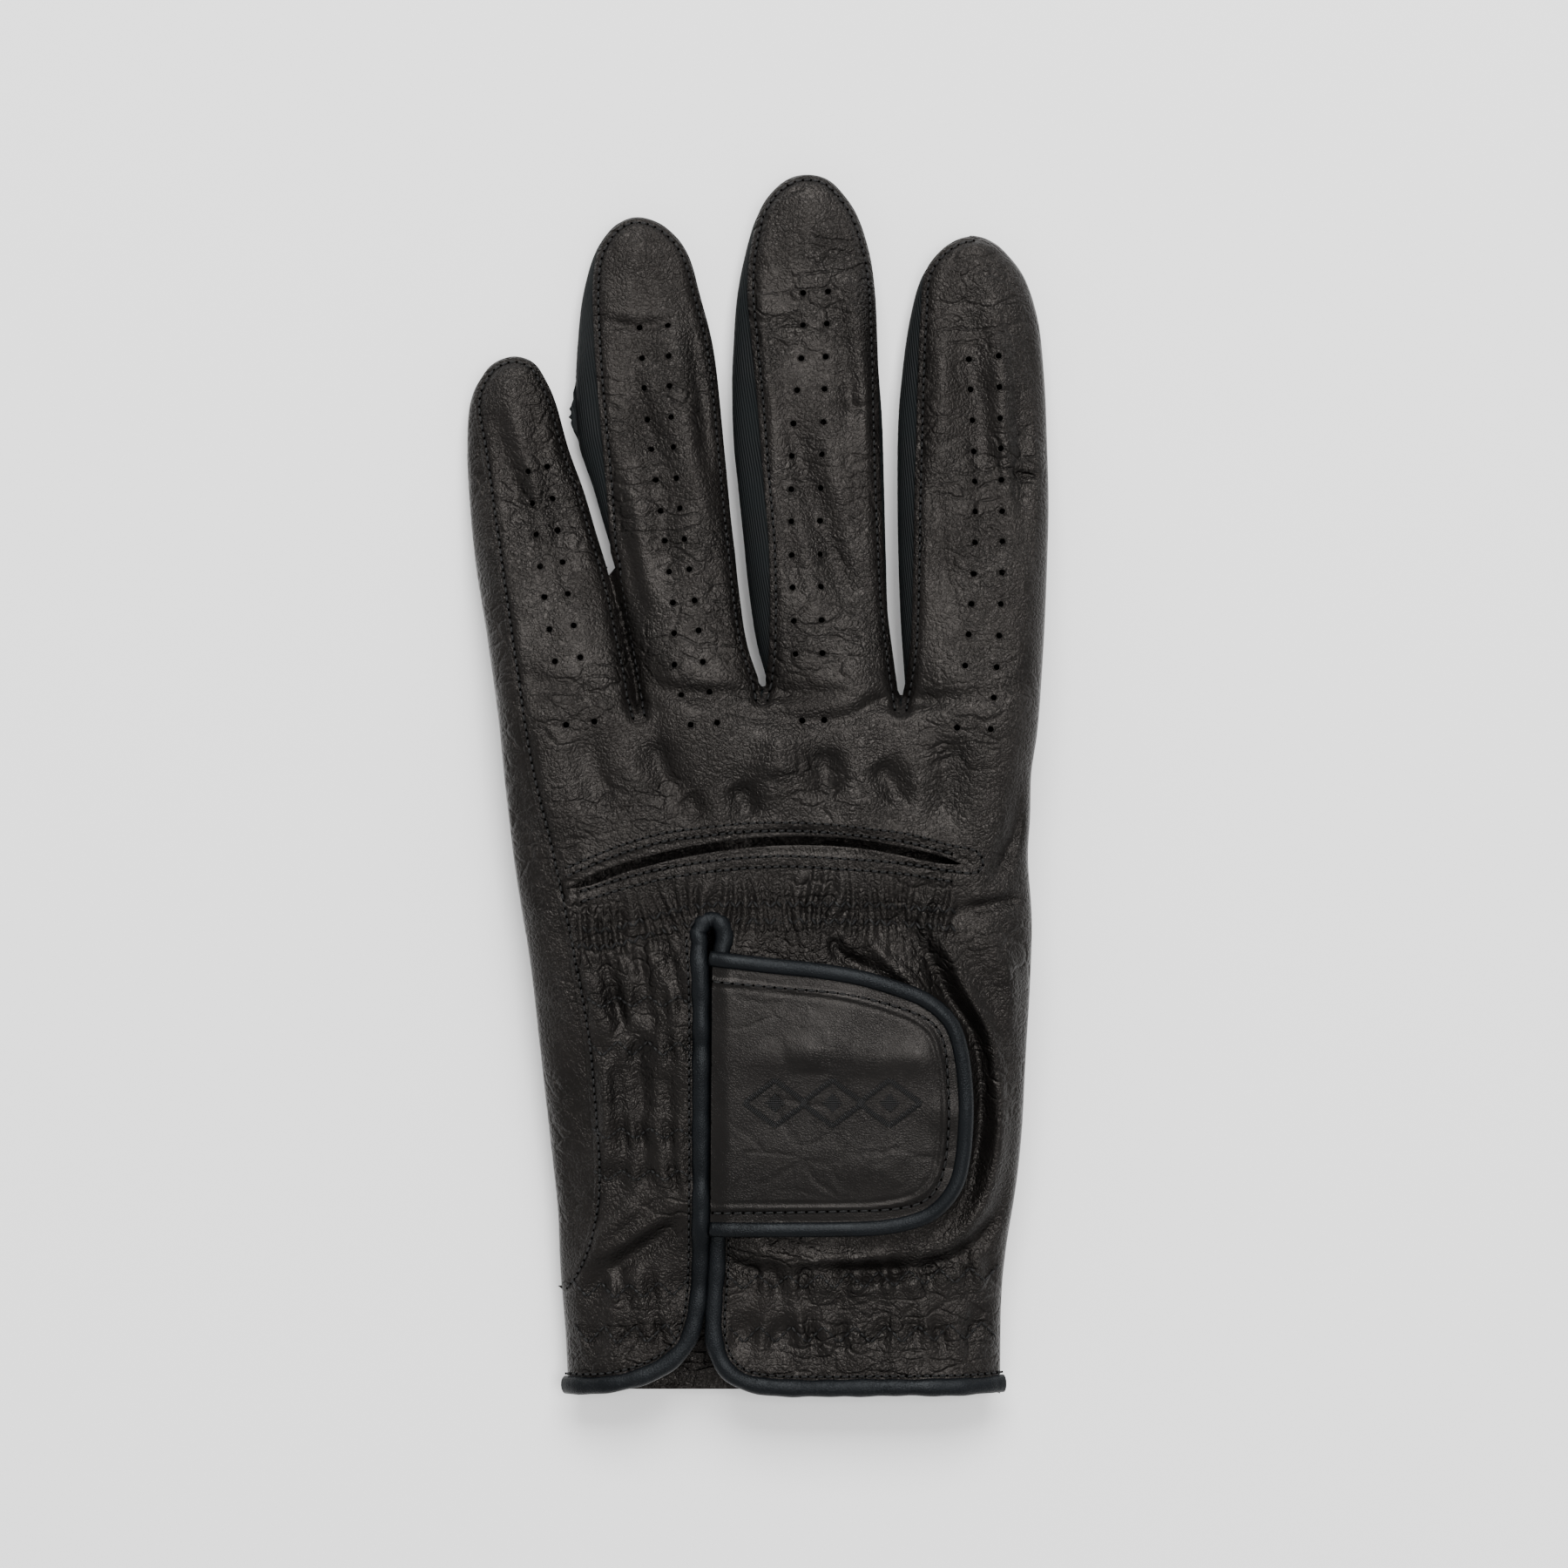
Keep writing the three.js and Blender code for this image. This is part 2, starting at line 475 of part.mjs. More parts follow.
// ---- Thumb, with a window in its palm-facing sheet under the hole in the palm.
const thumbStations = (from) => [
  ...spaced(from, THUMB_LENGTH - THUMB_TIP_LENGTH, 3),
  ...[0.4, 0.7, 0.9, TIP_SHARE].map((share) => THUMB_LENGTH - THUMB_TIP_LENGTH * (1 - share)),
].map(thumbStation);
const thumbTop = angleAt(0.86, FINGER_POWER);
const thumbFar = Math.PI - thumbTop;
add("thumb_palm_side", tubeSheet(thumbStations(THUMB_WINDOW), thumbTop, thumbFar, 4, LEATHER), MATERIALS.leather);
add("thumb_back_side", tubeSheet(thumbStations(0), -thumbTop, -thumbFar, 5, LEATHER), MATERIALS.leather);
const gusset = (from, to) => tubeSheet(thumbStations(0), from, to, 2, LEATHER);
add("thumb_seam_strip", gusset(thumbFar + SEAM_ANGLE, 2 * Math.PI - thumbFar - SEAM_ANGLE), MATERIALS.leather);
add("thumb_web_strip", gusset(-thumbTop + SEAM_ANGLE, thumbTop - SEAM_ANGLE), MATERIALS.leather);

export default glove;
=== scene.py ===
"""The looks of a left-hand golf glove that lies palm down: grained leather panels, fabric finger sides,
stitches, perforations, elastic gathers, a bound wrist opening and its closure tab. Lengths are in
millimetres until a mesh is made."""

import math

import bpy
import numpy as np
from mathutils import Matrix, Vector
from mathutils.geometry import delaunay_2d_cdt


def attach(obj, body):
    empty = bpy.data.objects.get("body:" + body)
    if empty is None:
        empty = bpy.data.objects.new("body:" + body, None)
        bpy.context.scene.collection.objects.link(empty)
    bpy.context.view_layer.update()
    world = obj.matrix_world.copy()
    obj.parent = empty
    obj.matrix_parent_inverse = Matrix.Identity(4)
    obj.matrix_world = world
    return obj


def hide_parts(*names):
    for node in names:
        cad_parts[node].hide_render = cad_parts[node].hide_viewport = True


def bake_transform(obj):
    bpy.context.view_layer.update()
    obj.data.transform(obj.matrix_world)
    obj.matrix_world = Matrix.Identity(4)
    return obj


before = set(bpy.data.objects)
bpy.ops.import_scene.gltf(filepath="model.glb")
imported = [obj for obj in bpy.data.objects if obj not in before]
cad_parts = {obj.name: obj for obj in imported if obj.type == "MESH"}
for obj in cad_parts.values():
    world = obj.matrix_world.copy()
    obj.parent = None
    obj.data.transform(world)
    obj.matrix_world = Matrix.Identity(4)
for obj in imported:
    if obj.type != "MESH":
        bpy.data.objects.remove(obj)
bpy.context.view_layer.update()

MM = 0.001
STEP = 0.55  # spacing of points along edges and over the back's leather
LEATHER = 0.75
FABRIC = 0.55
GROUND = 0.0


# ---- Camera.
def make_camera():
    """Looks straight down on the back of the hand."""
    data = bpy.data.cameras.new("camera")
    data.lens, data.sensor_width = 100, 36
    data.clip_start, data.clip_end = 0.05, 20
    camera = bpy.data.objects.new("camera", data)
    camera.location = (5.28 * MM, -0.16 * MM, 814 * MM)
    bpy.context.scene.collection.objects.link(camera)
    bpy.context.scene.camera = camera


make_camera()


# ---- Lines in plan.
def curve(points, step=STEP):
    """A smooth line through points, with its own points evenly spaced."""
    p = np.asarray(points, float)
    ends = np.vstack([2 * p[0] - p[1], p, 2 * p[-1] - p[-2]])
    fine = []
    for i in range(len(p) - 1):
        a, b, c, d = ends[i : i + 4]
        t1, t2, t3 = np.cumsum([np.linalg.norm(v) ** 0.5 + 1e-6 for v in (b - a, c - b, d - c)])
        t = np.linspace(t1, t2, 24, endpoint=False)[:, None]
        ab = a + (b - a) * t / t1
        bc = b + (c - b) * (t - t1) / (t2 - t1)
        cd = c + (d - c) * (t - t2) / (t3 - t2)
        abc, bcd = ab + (bc - ab) * t / t2, bc + (cd - bc) * (t - t1) / (t3 - t1)
        fine.append(abc + (bcd - abc) * (t - t1) / (t2 - t1))
    return even(np.vstack([*fine, p[-1:]]), step)


def even(line, step=STEP):
    """The same line with its points evenly spaced."""
    run = np.r_[0, np.cumsum(np.linalg.norm(np.diff(line, axis=0), axis=1))]
    count = max(int(round(run[-1] / step)), 1)
    at = np.linspace(0, run[-1], count + 1)
    return np.column_stack([np.interp(at, run, line[:, k]) for k in range(line.shape[1])])


def straight(a, b):
    return even(np.array([a, b], float), STEP)


def sideways(line):
    """Unit vectors to the right of a line's way."""
    way = np.gradient(line[:, :2], axis=0)
    way /= np.linalg.norm(way, axis=1)[:, None] + 1e-12
    return np.column_stack([way[:, 1], -way[:, 0]])


def beside(line, width):
    """The line moved to its right by a width, or by one width for each point."""
    return line[:, :2] + sideways(line) * np.reshape(width, (-1, 1))


def smooth_step(value, low=0.0, high=1.0):
    t = np.clip((value - low) / (high - low), 0, 1)
    return t * t * (3 - 2 * t)


def distance(points, line, closed=False):
    """Distance from each point to a line, and where along it the nearest place is."""
    a = line[:, :2]
    b = np.roll(a, -1, axis=0) if closed else a[1:]
    a = a if closed else a[:-1]
    best, along = np.full(len(points), 1e9), np.zeros(len(points))
    x, y = points[:, 0], points[:, 1]
    for i, ((ax, ay), (bx, by)) in enumerate(zip(a, b)):
        ex, ey = bx - ax, by - ay
        t = np.clip(((x - ax) * ex + (y - ay) * ey) / (ex * ex + ey * ey + 1e-12), 0, 1)
        d = (x - ax - t * ex) ** 2 + (y - ay - t * ey) ** 2
        near = d < best
        best[near], along[near] = d[near], i + t[near]
    return np.sqrt(best), along


def inside(points, loop):
    """Whether each point is inside a closed loop."""
    x, y = points[:, 0], points[:, 1]
    found = np.zeros(len(points), bool)
    for (ax, ay), (bx, by) in zip(loop, np.roll(loop, -1, axis=0)):
        crosses = (ay > y) != (by > y)
        if by != ay:
            found ^= crosses & (x < (bx - ax) * (y - ay) / (by - ay) + ax)
    return found


# ---- The glove's outline, finger by finger, from the little finger's side of the cuff to the thumb's side.
CUFF_LEFT, CUFF_RIGHT = (-34.6, -114.5), (45.3, -114.5)
OUTLINE = {
    "little": curve([
        CUFF_LEFT, (-35.2, -101.9), (-35.8, -94.2), (-37.3, -78.9), (-38.9, -63.5), (-40.5, -48.2),
            (-42.2, -32.8),
        (-44.7, -17.4), (-46.6, -2.1), (-48.2, 13.3), (-50.5, 28.6), (-52.5, 40.2), (-53.8, 51.7),
            (-54.4, 63.2),
        (-53.8, 70.9), (-52.2, 74.9), (-49.2, 78.4), (-44.7, 79.9), (-40.7, 78.6), (-38.1, 74.8),
            (-36.5, 70.9),
        (-34, 61.9), (-31.2, 54.2), (-29, 46.7), (-27.1, 40.6), (-25.5, 34.6), (-24, 27.7), (-22.4, 20.2),
            (-21.5, 14.9),
    ]),
    "ring": curve([
        (-21.5, 14.9), (-22, 20.4), (-23.6, 27.9), (-25.1, 34.8), (-26.7, 40.8), (-28.6, 46.9), (-30.8, 54.4),
        (-33.4, 62.1), (-34.2, 68.5), (-34.2, 74.7), (-33.8, 82.4), (-33, 90.1), (-31, 97.8), (-28.9, 101.7),
        (-26.1, 104.6), (-22.3, 105.8), (-17.9, 104.6), (-14.2, 101.6), (-11.8, 97.8), (-9.6, 90.1),
            (-7.6, 82.4),
        (-6.4, 74.7), (-5.4, 67), (-4.4, 54.2), (-3.4, 44.6), (-2.4, 35), (-0.9, 25.4), (1.6, 17.9),
    ]),
    "middle": curve([
        (1.6, 17.9), (-0.5, 25.4), (-2, 35), (-3, 44.6), (-4, 54.2), (-4.9, 63.2), (-5.2, 74.7), (-5, 80),
            (-4.3, 90.1),
        (-2.9, 97.8), (-0.6, 105.4), (2, 109.3), (5.6, 112.4), (9.8, 113.5), (13.8, 112.3), (16.9, 109.3),
            (19.4, 105.4),
        (21.8, 97.8), (22.8, 90.1), (23.5, 78.6), (24.3, 67), (24.6, 55.5), (24.9, 42), (25.3, 30),
            (26.8, 16.3),
    ]),
    "index": curve([
        (26.8, 16.3), (25.9, 30), (25.5, 42), (25.4, 55.5), (25.6, 67), (26.2, 74.7), (27.8, 86.2),
            (29.9, 93.9),
        (32.5, 97.9), (35.8, 100.6), (40.2, 101.7), (44.2, 100.4), (47.1, 97.8), (49.9, 93.9),
            (52.4, 86.2), (53.6, 74.7),
        (54, 63.2), (54.2, 51.7), (53.8, 40.2), (53, 24.8), (51.8, 9.4), (50.7, 1.8), (50.5, -5.9),
            (50.1, -13.6),
        (50.8, -25.1), (50.5, -37), (49.8, -50), (49.1, -65), (48.2, -74), (46.3, -86.6), (45.6, -94.2),
            CUFF_RIGHT,
    ]),
}
WHOLE = np.vstack([line[:-1] for line in OUTLINE.values()] + [OUTLINE["index"][-1:]])
TIPS = {"little": 79.9, "ring": 105.8, "middle": 113.5, "index": 101.7}
SPLIT = {"little": 15.6, "ring": 18.6, "middle": 18.6, "index": 17.2}  # where a finger's own panels start

# The stitched edge of each finger's back panel, from its little-finger side over its tip to its thumb side.
PANEL = {
    "little": curve([
        (-36.2, -93), (-33.9, -90.2), (-31.6, -85), (-30.3, -79.7), (-29.5, -72.8), (-30.2, -60),
            (-31.5, -45.6),
        (-34.5, -28.8), (-38, -12.2), (-41.6, 2.7), (-44.4, 20), (-47.5, 40), (-50.8, 61.5), (-52.2, 70.5),
            (-51.2, 74.2),
        (-48.8, 77.6), (-44.7, 79.1), (-41.1, 77.9), (-38.7, 74.4), (-37.1, 70.7), (-34.6, 61.8),
            (-31.8, 54.1),
        (-29.5, 46.5), (-27.6, 40.4), (-26, 34.5), (-24.5, 27.6), (-22.9, 20.1), (-22.1, 15), (-21.2, 12.2),
    ]),
    "ring": curve([
        (-21.2, 12.2), (-23.2, 19.4), (-25.2, 27.7), (-26.4, 39.2), (-27.2, 52), (-28.1, 62), (-29.3, 75),
            (-30, 86),
        (-30, 94), (-29.2, 98.4), (-27.2, 101.9), (-24.9, 104), (-21.9, 104.9), (-18, 103.9), (-15, 101.6),
            (-12.2, 98),
        (-10.1, 93), (-8.5, 86.2), (-7.1, 75.5), (-5.6, 60.3), (-4.1, 45.3), (-2, 30.7), (0, 22), (1.2, 15.4),
    ]),
    "middle": curve([
        (1.2, 15.4), (2.4, 22.4), (2.7, 30), (2.5, 44), (1.4, 57), (0.3, 71), (-0.8, 82.4), (-1.5, 91.5),
            (-0.8, 99.8),
        (1.1, 106.8), (4.4, 110.9), (7, 112.4), (9.8, 112.8), (12.6, 112.3), (15.3, 110.9), (18.4, 107),
            (20.6, 101.5),
        (22, 93), (22.6, 80.8), (22.9, 66.4), (23.2, 54.2), (23.6, 43.7), (24.2, 32.3), (25.4, 22.4),
            (26.6, 13.6),
    ]),
    "index": curve([
        (26.6, 13.6), (28.3, 24), (28.9, 36.2), (29.2, 49.8), (29.6, 62.7), (30, 75.5), (30.6, 86.9),
            (31.4, 94.6),
        (34.3, 98.7), (37.4, 100.8), (40.2, 101.6),
    ]),
}


def keep_inside(line, margin):
    """The same line, with points that are too near the glove's outline, or outside it, moved in."""
    kept = line.copy()
    d, along = distance(line, WHOLE)
    nearest = np.minimum(np.round(along).astype(int), len(WHOLE) - 1)
    inward = sideways(WHOLE)[nearest]
    depth = np.sum((line - WHOLE[nearest]) * inward, axis=1)
    close = (depth < margin) & (d < 3) & (np.arange(len(line)) < len(line) - 3)
    margins = np.broadcast_to(margin, len(line))
    kept[close] = WHOLE[nearest[close]] + inward[close] * margins[close, None]
    return kept


for name in ("little", "ring", "middle"):
    PANEL[name] = even(keep_inside(PANEL[name], 0.55 * smooth_step(PANEL[name][:, 1], -93, -88)))
# The knuckle vent, and the wrist opening from the cuff up one side, round its top and down the other.
VENT_TOP = curve([(-34.6, -19.4), (-29.5, -16.7), (-24, -14.6), (-11.2, -11.4), (4, -9.7), (19.2, -10.3),
    (34.4, -13.4), (37.8, -14.8)])
VENT_LOW = curve([(37.8, -14.8), (34.4, -14.7), (19.2, -11.9), (4, -11.4), (-11.2, -13.2), (-24, -16.4),
    (-30, -18.6), (-34.6, -19.4)])
VENT = np.vstack([VENT_TOP[:-1], VENT_LOW[:-1]])
BINDING_LEFT = curve([
    (-34.9, -111.3), (-27, -110.6), (-20.3, -108.8), (-15.7, -106.3), (-12.6, -102.8), (-10.8, -97),
        (-10.2, -90),
    (-10, -80), (-9.9, -60), (-9.9, -38), (-10.2, -31), (-10.4, -28),
])
BINDING_LOOP = curve([(-10.4, -28), (-9.8, -25.8), (-7.9, -24.9), (-6, -25.8), (-5.5, -28), (-6.3, -31.5)])
BINDING_RIGHT = curve([
    (-6.3, -31.5), (-6.8, -38), (-6.9, -60), (-7, -80), (-7.1, -90), (-7.7, -98), (-7.4, -103),
        (-5.4, -107.6),
    (-1.9, -110), (3.5, -111), (26, -111), (45.6, -111),
])
OPENING = np.vstack([BINDING_LEFT[:-1], BINDING_LOOP[:-1], BINDING_RIGHT])


# ---- Folds in the leather: line, width and height.
FOLDS = [
    # Across the roots of the fingers.
    ([(-21, 20), (-16, 17.4), (-7, 16.4), (6.5, 16.4), (18, 16.3)], 1.5, -0.9),
    ([(-20, 17), (-10, 15), (-2.5, 12.8), (8, 11.6), (17, 12), (22, 14.6), (28, 15), (38.4, 15.6),
        (50.5, 18.2)], 1.6, -0.8),
    ([(-44, 20), (-36, 17.8), (-25, 16.5)], 1.6, -0.5),
    # Soft hollows from between the knuckles towards the vent.
    ([(-18.6, 8.8), (-17, 2), (-13.9, -3.4)], 3.0, -1.5),
    ([(-12.7, -1.4), (-9.6, -6.9)], 2.2, -1.1),
    ([(-3.5, 0.5), (-0.5, -6.9)], 2.6, -1.2),
    ([(12.6, 7.2), (13.4, -3.8)], 2.8, -1.3),
    ([(21.8, 4.3), (25.4, -1.5), (23.7, -4.5)], 3.0, -1.5),
    ([(-32, 10), (-29, 2), (-27, -8)], 4.0, -1.2),
    ([(5, 10), (4, 0)], 4.0, 0.9),
    ([(36, 10), (35, -2), (33, -9)], 3.5, -1.1),
    # Long folds down the fingers.
    ([(-21.1, 79.8), (-18, 55), (-15.5, 31.8)], 3.2, -1.2),
    ([(-27, 60), (-24, 42), (-20, 28)], 2.0, -0.8),
    ([(-12, 88), (-10, 70), (-8, 52)], 2.2, -0.7),
    ([(6.1, 68.6), (12, 48), (18.9, 28.6)], 3.0, -1.3),
    ([(14, 96), (17, 78), (18, 60)], 2.4, -0.8),
    ([(4, 60), (6, 44), (8, 30)], 2.0, -0.6),
    ([(38, 88), (41, 70), (43, 50), (40, 34)], 3.2, -1.0),
    ([(47, 76), (49, 60), (49, 44)], 2.0, -0.8),
    ([(34, 60), (34, 44), (36, 30)], 2.0, -0.6),
    ([(-47, 66), (-43, 50), (-40, 34)], 2.4, -0.8),
    ([(-40, 60), (-36, 44), (-33, 30)], 2.0, -0.6),
    ([(46.4, 57.4), (49.6, 56.6), (53.3, 57)], 0.7, -0.7),
    ([(-29, 85.5), (-22, 84.2), (-14, 85.6)], 1.2, -0.7),
    ([(-20.5, 79), (-18.5, 70), (-15, 62)], 2.2, 0.7),
    ([(-13.5, 76), (-11, 60), (-8, 45)], 2.6, 0.9),
    ([(17, 92), (19.5, 76), (20, 58)], 2.6, 0.9),
    ([(2, 96), (1.5, 80), (4, 64)], 2.0, 0.6),
    ([(-46, 72), (-42.5, 60), (-38, 48)], 2.2, 0.7),
    ([(34.5, 90), (34, 72), (33.5, 52)], 2.2, 0.7),
    ([(43.5, 92), (45.5, 74), (46.5, 54)], 2.4, 0.7),
    ([(16, 70), (20.5, 69), (23.5, 70)], 1.0, -0.45),
    ([(-2, 86), (4, 84.6), (10, 86)], 1.0, -0.45),
    # Round the closure tab.
    ([(13.9, -27.4), (15.4, -31), (21.4, -34.1)], 1.4, -1.3),
    ([(19.5, -25.6), (22.5, -30.5), (28.5, -36.2), (33.2, -41.5)], 1.5, 0.9),
    ([(26.7, -25), (31.4, -31), (35.8, -39.5), (39.7, -45.6), (41.3, -54), (41, -65.3), (38.2, -76.6),
        (32.8, -82.7)], 2.3, -2.4),
    ([(29, -24), (34.5, -30), (38.6, -38.5), (42.6, -46), (44.2, -56)], 1.6, 1.1),
    ([(43, -50), (44.6, -62), (43, -74), (38, -83), (30, -88)], 2.0, 1.0),
    ([(-6, -85.4), (-3.5, -88.6), (4, -90.2)], 1.4, -1.1),
    ([(-2, -84.6), (5, -87), (14, -87.6), (26, -86.6)], 1.5, 1.1),
    ([(5.6, -86.2), (10, -88.2), (19.2, -89.6), (28.3, -89.2), (36.6, -87), (45, -79.2), (48.8, -69.2)],
        1.8, -1.4),
    ([(8, -91.8), (20, -92.6), (33, -91)], 1.6, 0.7),
    # Down the little-finger side of the wrist.
    ([(-31.4, -86.4), (-26, -81), (-20.2, -75.8)], 1.7, 1.0),
    ([(-29.8, -92.4), (-20, -85), (-10.6, -78)], 1.8, -1.2),
    ([(-33.4, -88.8), (-25, -84.4), (-15.4, -77.9)], 1.6, 0.7),
    ([(-28, -30), (-25.4, -40), (-23, -47)], 1.7, -1.0),
    ([(-22, -29), (-19.6, -38), (-17.8, -46.4)], 1.5, -1.0),
    ([(-16.4, -28), (-14.4, -36), (-13, -44)], 1.3, -0.9),
    ([(-31, -32), (-27.8, -42), (-27, -60), (-26.4, -76)], 2.0, 0.8),
    ([(-21, -50), (-20.2, -62)], 1.6, -0.8),
    ([(-16, -52), (-15.6, -62)], 1.4, -0.7),
    ([(-25.6, -50), (-25, -62)], 1.5, -0.7),
    # The thumb side of the hand.
    ([(50.2, 3), (48.5, -6.1), (46.6, -11.4), (43, -19)], 1.8, -1.1),
    ([(48.5, -6.1), (49.6, -12.2)], 1.3, -0.8),
    ([(37.4, -23.2), (44, -22), (50.2, -20.8)], 1.2, -1.0),
    ([(42, -27), (46.5, -36), (48, -48)], 2.4, 0.9),
]


FOLD_LINES = [(curve(points, 1.5), width, height) for points, width, height in FOLDS]


def fold_height(p):
    """What the folds and gathers add to the back's height."""
    z = np.zeros(len(p))
    for line, width, height in FOLD_LINES:
        low, high = line.min(0) - 3 * width, line.max(0) + 3 * width
        near = np.flatnonzero(np.all((p > low) & (p < high), axis=1))
        if not len(near):
            continue
        d, along = distance(p[near], line)
        end = np.minimum(along, len(line) - 1 - along) / (len(line) - 1)
        fade = 0.25 + 0.75 * smooth_step(end, 0, 0.3)
        z[near] += 1.3 * height * fade * np.exp(-((d / width) ** 2))
    return z + gathers(p) + wrinkles(p)


GATHERS = [
    # Middle line, half-width, spacing of its puckers and their height.
    ([(-33.6, -27), (-27, -27.2), (-20, -25.4), (-9.6, -23.2), (5, -23), (22, -23.2), (36.6, -24.2)], 4.6,
        2.1, 0.55),
    ([(-30.6, -40.2), (-24, -40.1), (-11.8, -39.6)], 2.4, 5.3, 0.6),
    ([(-30.4, -48.4), (-24, -48.6), (-11.8, -48.3)], 2.4, 5.3, 0.6),
    ([(-29.6, -64.2), (-24, -64.4), (-11.8, -64)], 2.4, 5.3, 0.6),
    ([(-29.4, -71.8), (-24, -72), (-11.8, -71.6)], 2.4, 5.3, 0.6),
    ([(-34, -93.4), (-24, -93.2), (-12.6, -92.2)], 2.6, 5.5, 0.55),
    ([(-33, -101.8), (-24, -101.6), (-14, -100.6)], 2.6, 5.5, 0.55),
    ([(-6, -91.6), (20, -91.2), (45, -89.4)], 2.8, 5.7, 0.6),
    ([(-6, -101.2), (20, -101.2), (45, -100.6)], 2.8, 6.0, 0.6),
]


GATHER_LINES = [(curve(points, 1.0), half, pitch, height) for points, half, pitch, height in GATHERS]


def gathers(p):
    z = np.zeros(len(p))
    for line, half, pitch, height in GATHER_LINES:
        near = np.flatnonzero(np.all((p > line.min(0) - 9) & (p < line.max(0) + 9), axis=1))
        if not len(near):
            continue
        d, along = distance(p[near], line)
        jitter = 0.9 * np.sin(along * 0.31 + p[near, 1] * 0.24) + 0.5 * np.sin(along * 0.83)
        wave = np.sin((along + jitter) * 2 * math.pi / pitch)
        z[near] += height * wave * np.exp(-((d / (half * 1.25)) ** 2)) - 0.35 * np.exp(-((d / half) ** 2))
    return z


def wrinkles(p):
    """Slow swells and small wrinkles, as sums of slanted waves."""
    x, y = p[:, 0], p[:, 1]
    z = 0.32 * np.sin(x * 0.19 + 0.07 * y + 1.3) * np.sin(y * 0.13 - 0.05 * x + 0.4)
    z += 0.16 * np.sin(x * 0.43 + 0.21 * y) * np.sin(y * 0.31 - 0.17 * x + 2.1)
    return z + 0.05 * np.sin(x * 1.1 - 0.6 * y + 0.8) * np.sin(y * 0.9 + 0.5 * x)


# ---- Heights.
def finger_of(p):
    """Index of the finger whose side of the crotches each point is on, softened across them."""
    bounds = [
        np.interp(p[:, 1], [14, 28, 47, 62, 106], [-21.5, -23.8, -28.8, -33.6, -36]),
        np.interp(p[:, 1], [14, 25, 45, 63], [1.6, -0.7, -3.2, -4.9]),
        np.interp(p[:, 1], [14, 30, 55], [26.8, 25.6, 25]),
    ]
    return sum(smooth_step(p[:, 0] - edge, -0.5, 0.5) for edge in bounds)


def tip_of(p):
    return np.interp(finger_of(p), [0, 1, 2, 3], list(TIPS.values()))


def mid_height(p):
    y = p[:, 1]
    hand = 7 + 7.4 * smooth_step(y, -106, -22)
    down = np.clip((y - 12.5) / (tip_of(p) - 18 - 12.5), 0, 1)
    down = np.where(down < 1, down - 0.04 * np.sin(2 * math.pi * down), 1)
    return hand + (5.1 - 14.4) * down * (y > 12.5)


def half_height(p):
    return 7 - 1.9 * np.clip((p[:, 1] - 12.5) / (tip_of(p) - 30), 0, 1)


def rounding(p, top):
    """How far in from the outline the surface has come round to its full height."""
    hand = 15.5 if top else 11.0
    return 10.4 + (hand - 10.4) * (1 - smooth_step(p[:, 1], -14, 24))


def lift_over_tab(p):
    """The bound edge of the opening lies on the root of the closure tab."""
    window = smooth_step(p[:, 1], -88, -79) * (1 - smooth_step(p[:, 1], -35, -28))
    return 2.0 * window * smooth_step(p[:, 0], -24, -11) * (p[:, 0] < -8.4)


def outer_skin(p, top, calm=False):
    """The glove's outer surface over or under each point in plan, with its folds unless it is calm."""
    d, _ = distance(p, WHOLE)
    t = np.clip(d / rounding(p, top), 0, 1)
    rise = half_height(p) * np.sqrt(np.clip(1 - (1 - t) ** 2, 0, 1))
    if not top:
        ripple = 0.25 * wrinkles(p * 0.9 + 40) * smooth_step(d, 1, 9) * smooth_step(-p[:, 1], -20, -12)
        return np.maximum(mid_height(p) - rise + ripple, GROUND)
    if calm:
        return mid_height(p) + rise
    return mid_height(p) + rise + (fold_height(p) + lift_over_tab(p)) * smooth_step(d, 0.3, 4.5)


